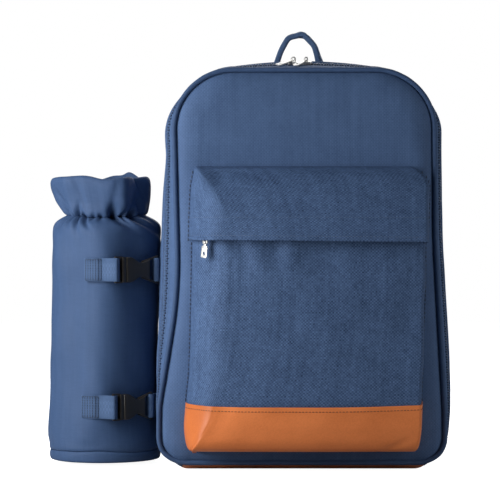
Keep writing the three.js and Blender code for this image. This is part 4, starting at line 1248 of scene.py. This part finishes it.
# Sleeve base: a round of the same nylon that closes the tube at the bottom. Its hem is turned up round the
# foot of the tube and sewn to it along a wavy seam.
BASE_PROFILE = [
    # radius and z from the middle of the floor to the top of the hem
    (0, 4.6), (12, 4.6), (24, 4.5), (36, 4.4), (46, 4.2), (52, 4.0), (54.5, 4.1), (55.8, 4.6), (56.5, 5.6),
    (56.9, 7.2), (57.1, 9), (57.2, 10.8), (57.1, 12.4), (56.8, 13.8), (56.4, 14.8),
]


def sleeve_base_place(share, step):
    turn = 360 * share - 180
    radius, z = BASE_PROFILE[step]
    crease = 0.5 * ring_ripple(turn, 60, 17, 43.0) * smooth_step(50, 57, radius)
    radius += crease + swollen(turn, z) * smooth_step(40, 57, radius)
    return round_sleeve(SLEEVE_X - 1, radius, turn, z + foot_wave(turn, 16) * smooth_step(4, 14, z))


base_steps = list(range(len(BASE_PROFILE)))
foot = lay_cloth(220, base_steps, sleeve_base_place, (SLEEVE_ROUND, 72), (0, -1, -1), joined=True)
set_out("sleeve_base_cloth", foot, sleeve_nylon, ["sleeve_base"], wall=2.2)


# Strap webbing: each strap is nylon webbing folded round a buckle's bar and sewn down in two layers, on the
# sleeve with a block of stitch rows and on the pack's side behind it.
STRAPS = [
    # name, how far back it is sewn to the pack, and the female buckle's bar from the buckle's middle
    ("upper", 34.0, 27.2),
    ("lower", 22.0, 23.2),
]
BUCKLE_TURN = math.radians(31)
BUCKLE_OFF = 5.0
MALE_BAR = -19.0
BAR_LOOP = 3.2
WEB_THICKNESS = 1.5
WEB_HEIGHT = 24.0
WEB_LENGTH = 70
SEWN_TURNS = steps(-19.5, 1.0, 4)
STITCH_LIFT = 3.55
buckle_along = Vector((math.cos(BUCKLE_TURN), math.sin(BUCKLE_TURN), 0))
buckle_out = Vector((math.sin(BUCKLE_TURN), -math.cos(BUCKLE_TURN), 0))


def ribbon_along(path, section_of, columns, length):
    """Webbing that follows a path of points: section_of gives its across and out directions at each step."""
    rows = [(k, *point) for k, point in enumerate(path)]
    last = len(path) - 1

    def line(step):
        return Vector([table_at(rows, column, step) for column in (1, 2, 3)])

    def place(share, angle):
        step = share * last
        across, out = section_of(heading(line, step, last))
        side, thick = rounded_slab(angle, 0.3)
        rib = 0.06 * math.sin(side * 40)
        return line(step) + across * side * WEB_HEIGHT / 2 + out * thick * (WEB_THICKNESS / 2 + rib)

    return lay_tube(columns, 44, place, (length, 2 * WEB_HEIGHT), (0, 0, 1))


def upright(along):
    return UP, along.cross(UP).normalized()


def strap_axis(z):
    return Vector((SLEEVE_X + table_at(SLEEVE_BODY, 2, z), SLEEVE_Y, z))


def buckle_middle(z):
    return strap_axis(z) + buckle_out * (table_at(SLEEVE_BODY, 1, z) + BUCKLE_OFF)


def on_sleeve(turn, z, lift):
    """Point on the sleeve at a strap's height, and the direction outwards there."""
    angle = math.radians(turn)
    out = Vector((math.sin(angle), -math.cos(angle), 0))
    return strap_axis(z) + out * (table_at(SLEEVE_BODY, 1, z) + lift - flattened(turn, z)), out


def loop_at(z, bar, side):
    """Path of the webbing round a buckle's bar, from its outer to its inner layer."""
    loop = []
    for degrees in (140, 90, 45, 0, -45, -90):
        angle = math.radians(degrees)
        along = bar + side * BAR_LOOP * math.cos(angle)
        loop.append(buckle_middle(z) + buckle_along * along + buckle_out * BAR_LOOP * math.sin(angle))
    return loop


def pack_side(y, z):
    """How far out the pack's left side comes at a depth, over the height of the webbing."""
    runs = steps(0, 420, 210)
    reach = 0.0
    for height in (z - 12, z, z + 12):
        run = min(runs, key=lambda r: abs(wall_at(r, y).z - height))
        reach = min(reach, wall_at(run, y).x)
    return reach


for strap_name, sewn_to, female_bar in STRAPS:
    z = STRAP_HEIGHTS[strap_name]
    path = [on_sleeve(turn, z, 2.7)[0] for turn in SEWN_TURNS] + loop_at(z, MALE_BAR, 1)
    path += [on_sleeve(turn, z, 1.0)[0] for turn in reversed(SEWN_TURNS)]
    name = "sleeve_webbing_" + strap_name
    set_out(name + "_ribbon", ribbon_along(path, upright, 110, WEB_LENGTH), webbing, [name])

    stitches = []
    for turn in steps(-17.8, -0.8, 6):
        point, out = on_sleeve(turn, z, STITCH_LIFT)
        stitches += [(point + UP * (-9.1 + 2.6 * k), UP, UP.cross(out), out) for k in range(8)]
    for edge in (-10.6, 10.6):
        for turn in steps(-17.0, -1.6, 6):
            point, out = on_sleeve(turn, z, STITCH_LIFT)
            stitches.append((point + UP * edge, out.cross(UP), UP, out))
    set_row(name + "_stitches", stitches, (1.9, 0.7, 0.5), 0.16, dark_thread_and_rim_shade)

    reach = [Vector((pack_side(y, z), y, z)) for y in steps(10.0, sewn_to, 3)]
    left = Vector((-1, 0, 0))
    path = [point + left * 2.9 for point in reversed(reach)] + loop_at(z, female_bar, -1)
    path += [point + left * 1.1 for point in reach]
    name = "pack_webbing_" + strap_name
    set_out(name + "_ribbon", ribbon_along(path, upright, 110, WEB_LENGTH), webbing, [name])


# Side release buckles: moulded plastic with rounded edges, fastened as in the photograph. The male half is a
# frame with a bar, and the female half narrows to a waist between its mouth and its own bar.
FEMALE_HALF = [
    # distance along from the middle, and half the height there
    (-9, 12.2), (-8, 13), (-4, 13), (-1, 12.3), (2, 10.6), (4.5, 8.6), (6.5, 7.6), (9, 7.6), (12, 8.8),
    (16.2, 10.8),
]
DRAWN_BAR = 23.5
FEMALE_THICK = 8.6
FEMALE_EDGE = 1.5
MOULDED_EDGE = 0.7
WAIST_FROM = 4
FLARE = ((10.5, 8.2), (24.2, 13.4))
BAR_SIZE = (3, 27.6, 3)
BAR_EDGE = 0.6
ARM_WIDTH = 2.0
ARM_THICK = 4.4
ARM_OVERLAP = 1.5
black_plastic = speckled_finish("black_plastic", (0.014, 0.0115, 0.009), (0.026, 0.022, 0.018), 700.0, 0.34)


def drawn_out(along, female_bar):
    """Distance along a female half, stretched behind its waist as far as its bar lies from the drawn one."""
    stretch = (female_bar - WAIST_FROM) / (DRAWN_BAR - WAIST_FROM)
    return min(along, WAIST_FROM) + max(along - WAIST_FROM, 0) * stretch


def female_bars(female_bar):
    """The bar of a female buckle and the two arms that flare out to it."""
    bars = bmesh.new()
    add_block(bars, Vector((female_bar, 0, 0)), Vector((1, 0, 0)), Vector((0, 1, 0)), UP, BAR_SIZE)
    for side in (-1, 1):
        low, high = [Vector((drawn_out(along, female_bar), side * half, 0)) for along, half in FLARE]
        along = (high - low).normalized()
        arm = ((high - low).length + ARM_OVERLAP, ARM_WIDTH, ARM_THICK)
        add_block(bars, (low + high) / 2, along, UP.cross(along), UP, arm)
    soften(bars, bars.edges[:], BAR_EDGE, 2)
    mesh = bpy.data.meshes.new("female_bars")
    bars.to_mesh(mesh)
    bars.free()
    return mesh


for strap_name, _, female_bar in STRAPS:
    name = "male_buckle_" + strap_name
    male = cast_from(name, MOULDED_EDGE)
    set_out(name + "_moulded", male, black_plastic, [name], smooth=False)

    bm = bmesh.new()
    half = [(drawn_out(along, female_bar), high) for along, high in FEMALE_HALF]
    outline = [bm.verts.new((along, high, 0)) for along, high in half]
    outline += [bm.verts.new((along, -high, 0)) for along, high in reversed(half)]
    grown = bmesh.ops.extrude_face_region(bm, geom=[bm.faces.new(outline)])
    top = [v for v in grown["geom"] if isinstance(v, bmesh.types.BMVert)]
    bmesh.ops.translate(bm, verts=top, vec=(0, 0, FEMALE_THICK))
    bmesh.ops.translate(bm, verts=bm.verts, vec=(0, 0, -FEMALE_THICK / 2))
    bmesh.ops.recalc_face_normals(bm, faces=bm.faces)
    rims = [e for e in bm.edges if abs(e.verts[0].co.z - e.verts[1].co.z) < 0.1]
    soften(bm, rims, FEMALE_EDGE, 3)
    bars_mesh = female_bars(female_bar)
    bm.from_mesh(bars_mesh)
    bpy.data.meshes.remove(bars_mesh)
    turned = Matrix((buckle_along, UP, buckle_out)).transposed().to_4x4()
    middle = Matrix.Translation(buckle_middle(STRAP_HEIGHTS[strap_name]))
    bmesh.ops.transform(bm, matrix=middle @ turned, verts=bm.verts)
    name = "female_buckle_" + strap_name
    set_out(name + "_moulded", bm, black_plastic, [name], smooth=False)


# Shoulder straps: foam pads in the same polyester as the pack, stitched along both edges. They are sewn in at
# the top of the back and lie bowed off it.
STRAP_PAD = [
    # step, x, y, z, width, thickness
    (0, 42, 77.4, 384, 50, 12),
    (1, 46, 84, 358, 56, 14),
    (2, 56, 99, 300, 60, 14),
    (3, 68, 105, 240, 60, 14),
    (4, 80, 101, 188, 52, 13),
    (5, 87, 94, 156, 34, 8),
]
PAD_END = 5
PAD_LENGTH = 240
SIDES = (("left", -1), ("right", 1))


def flat_on_back(along):
    across = Vector((0, 1, 0)).cross(along).normalized()
    return across, along.cross(across).normalized()


def pad_line(side):
    """Centre line of the left or the right pad."""
    def line(step):
        x, y, z = [table_at(STRAP_PAD, column, step) for column in (1, 2, 3)]
        return Vector((side * x, y, z))
    return line


def shoulder_pad(line):
    def place(share, angle):
        step = share * PAD_END
        across, out = flat_on_back(heading(line, step, PAD_END))
        wide, thick = rounded_slab(angle, 0.55)
        point = line(step) + across * wide * table_at(STRAP_PAD, 4, step) / 2
        sewn = 0.24 * bump(abs(wide), 0.84, 0.05)
        crease = 0.05 * ripple(*point, 26, 47.0)
        return point + out * thick * (0.5 - sewn + crease) * table_at(STRAP_PAD, 5, step)

    return lay_tube(110, 56, place, (PAD_LENGTH, 130), (0, 1, 0))


for side_name, side in SIDES:
    name = "shoulder_strap_" + side_name
    pad = set_out(name + "_pad", shoulder_pad(pad_line(side)), pack_cloth, [name])


# Strap adjusters and their webbing: a black plastic slide at the end of each pad, and webbing from it down to
# the lower corner of the back.
THREADED = [
    # distance on from the pad's end, and off its face, where the webbing goes through the slide
    (14.9, -0.4),
    (17.5, -2.9),
    (22.3, -3.3),
]
STRAP_WEB = [
    # x, y and z of the webbing below the slide
    (99, 80.5, 104),
    (107, 74.6, 72),
    (111.5, 72.2, 54),
    (115.5, 72.2, 38),
]
SLIDE_EDGE = 0.6
for side_name, side in SIDES:
    line = pad_line(side)
    end = line(PAD_END)
    along = (end - line(PAD_END - 1)).normalized()
    _, out = flat_on_back(along)
    path = [end + along * on + out * off for on, off in THREADED]
    path += [Vector((side * x, y, z)) for x, y, z in STRAP_WEB]
    name = "strap_webbing_" + side_name
    set_out(name + "_ribbon", ribbon_along(path, flat_on_back, 80, 120), webbing, [name])
    name = "strap_adjuster_" + side_name
    slide = cast_from(name, SLIDE_EDGE)
    set_out(name + "_moulded", slide, black_plastic, [name], smooth=False)
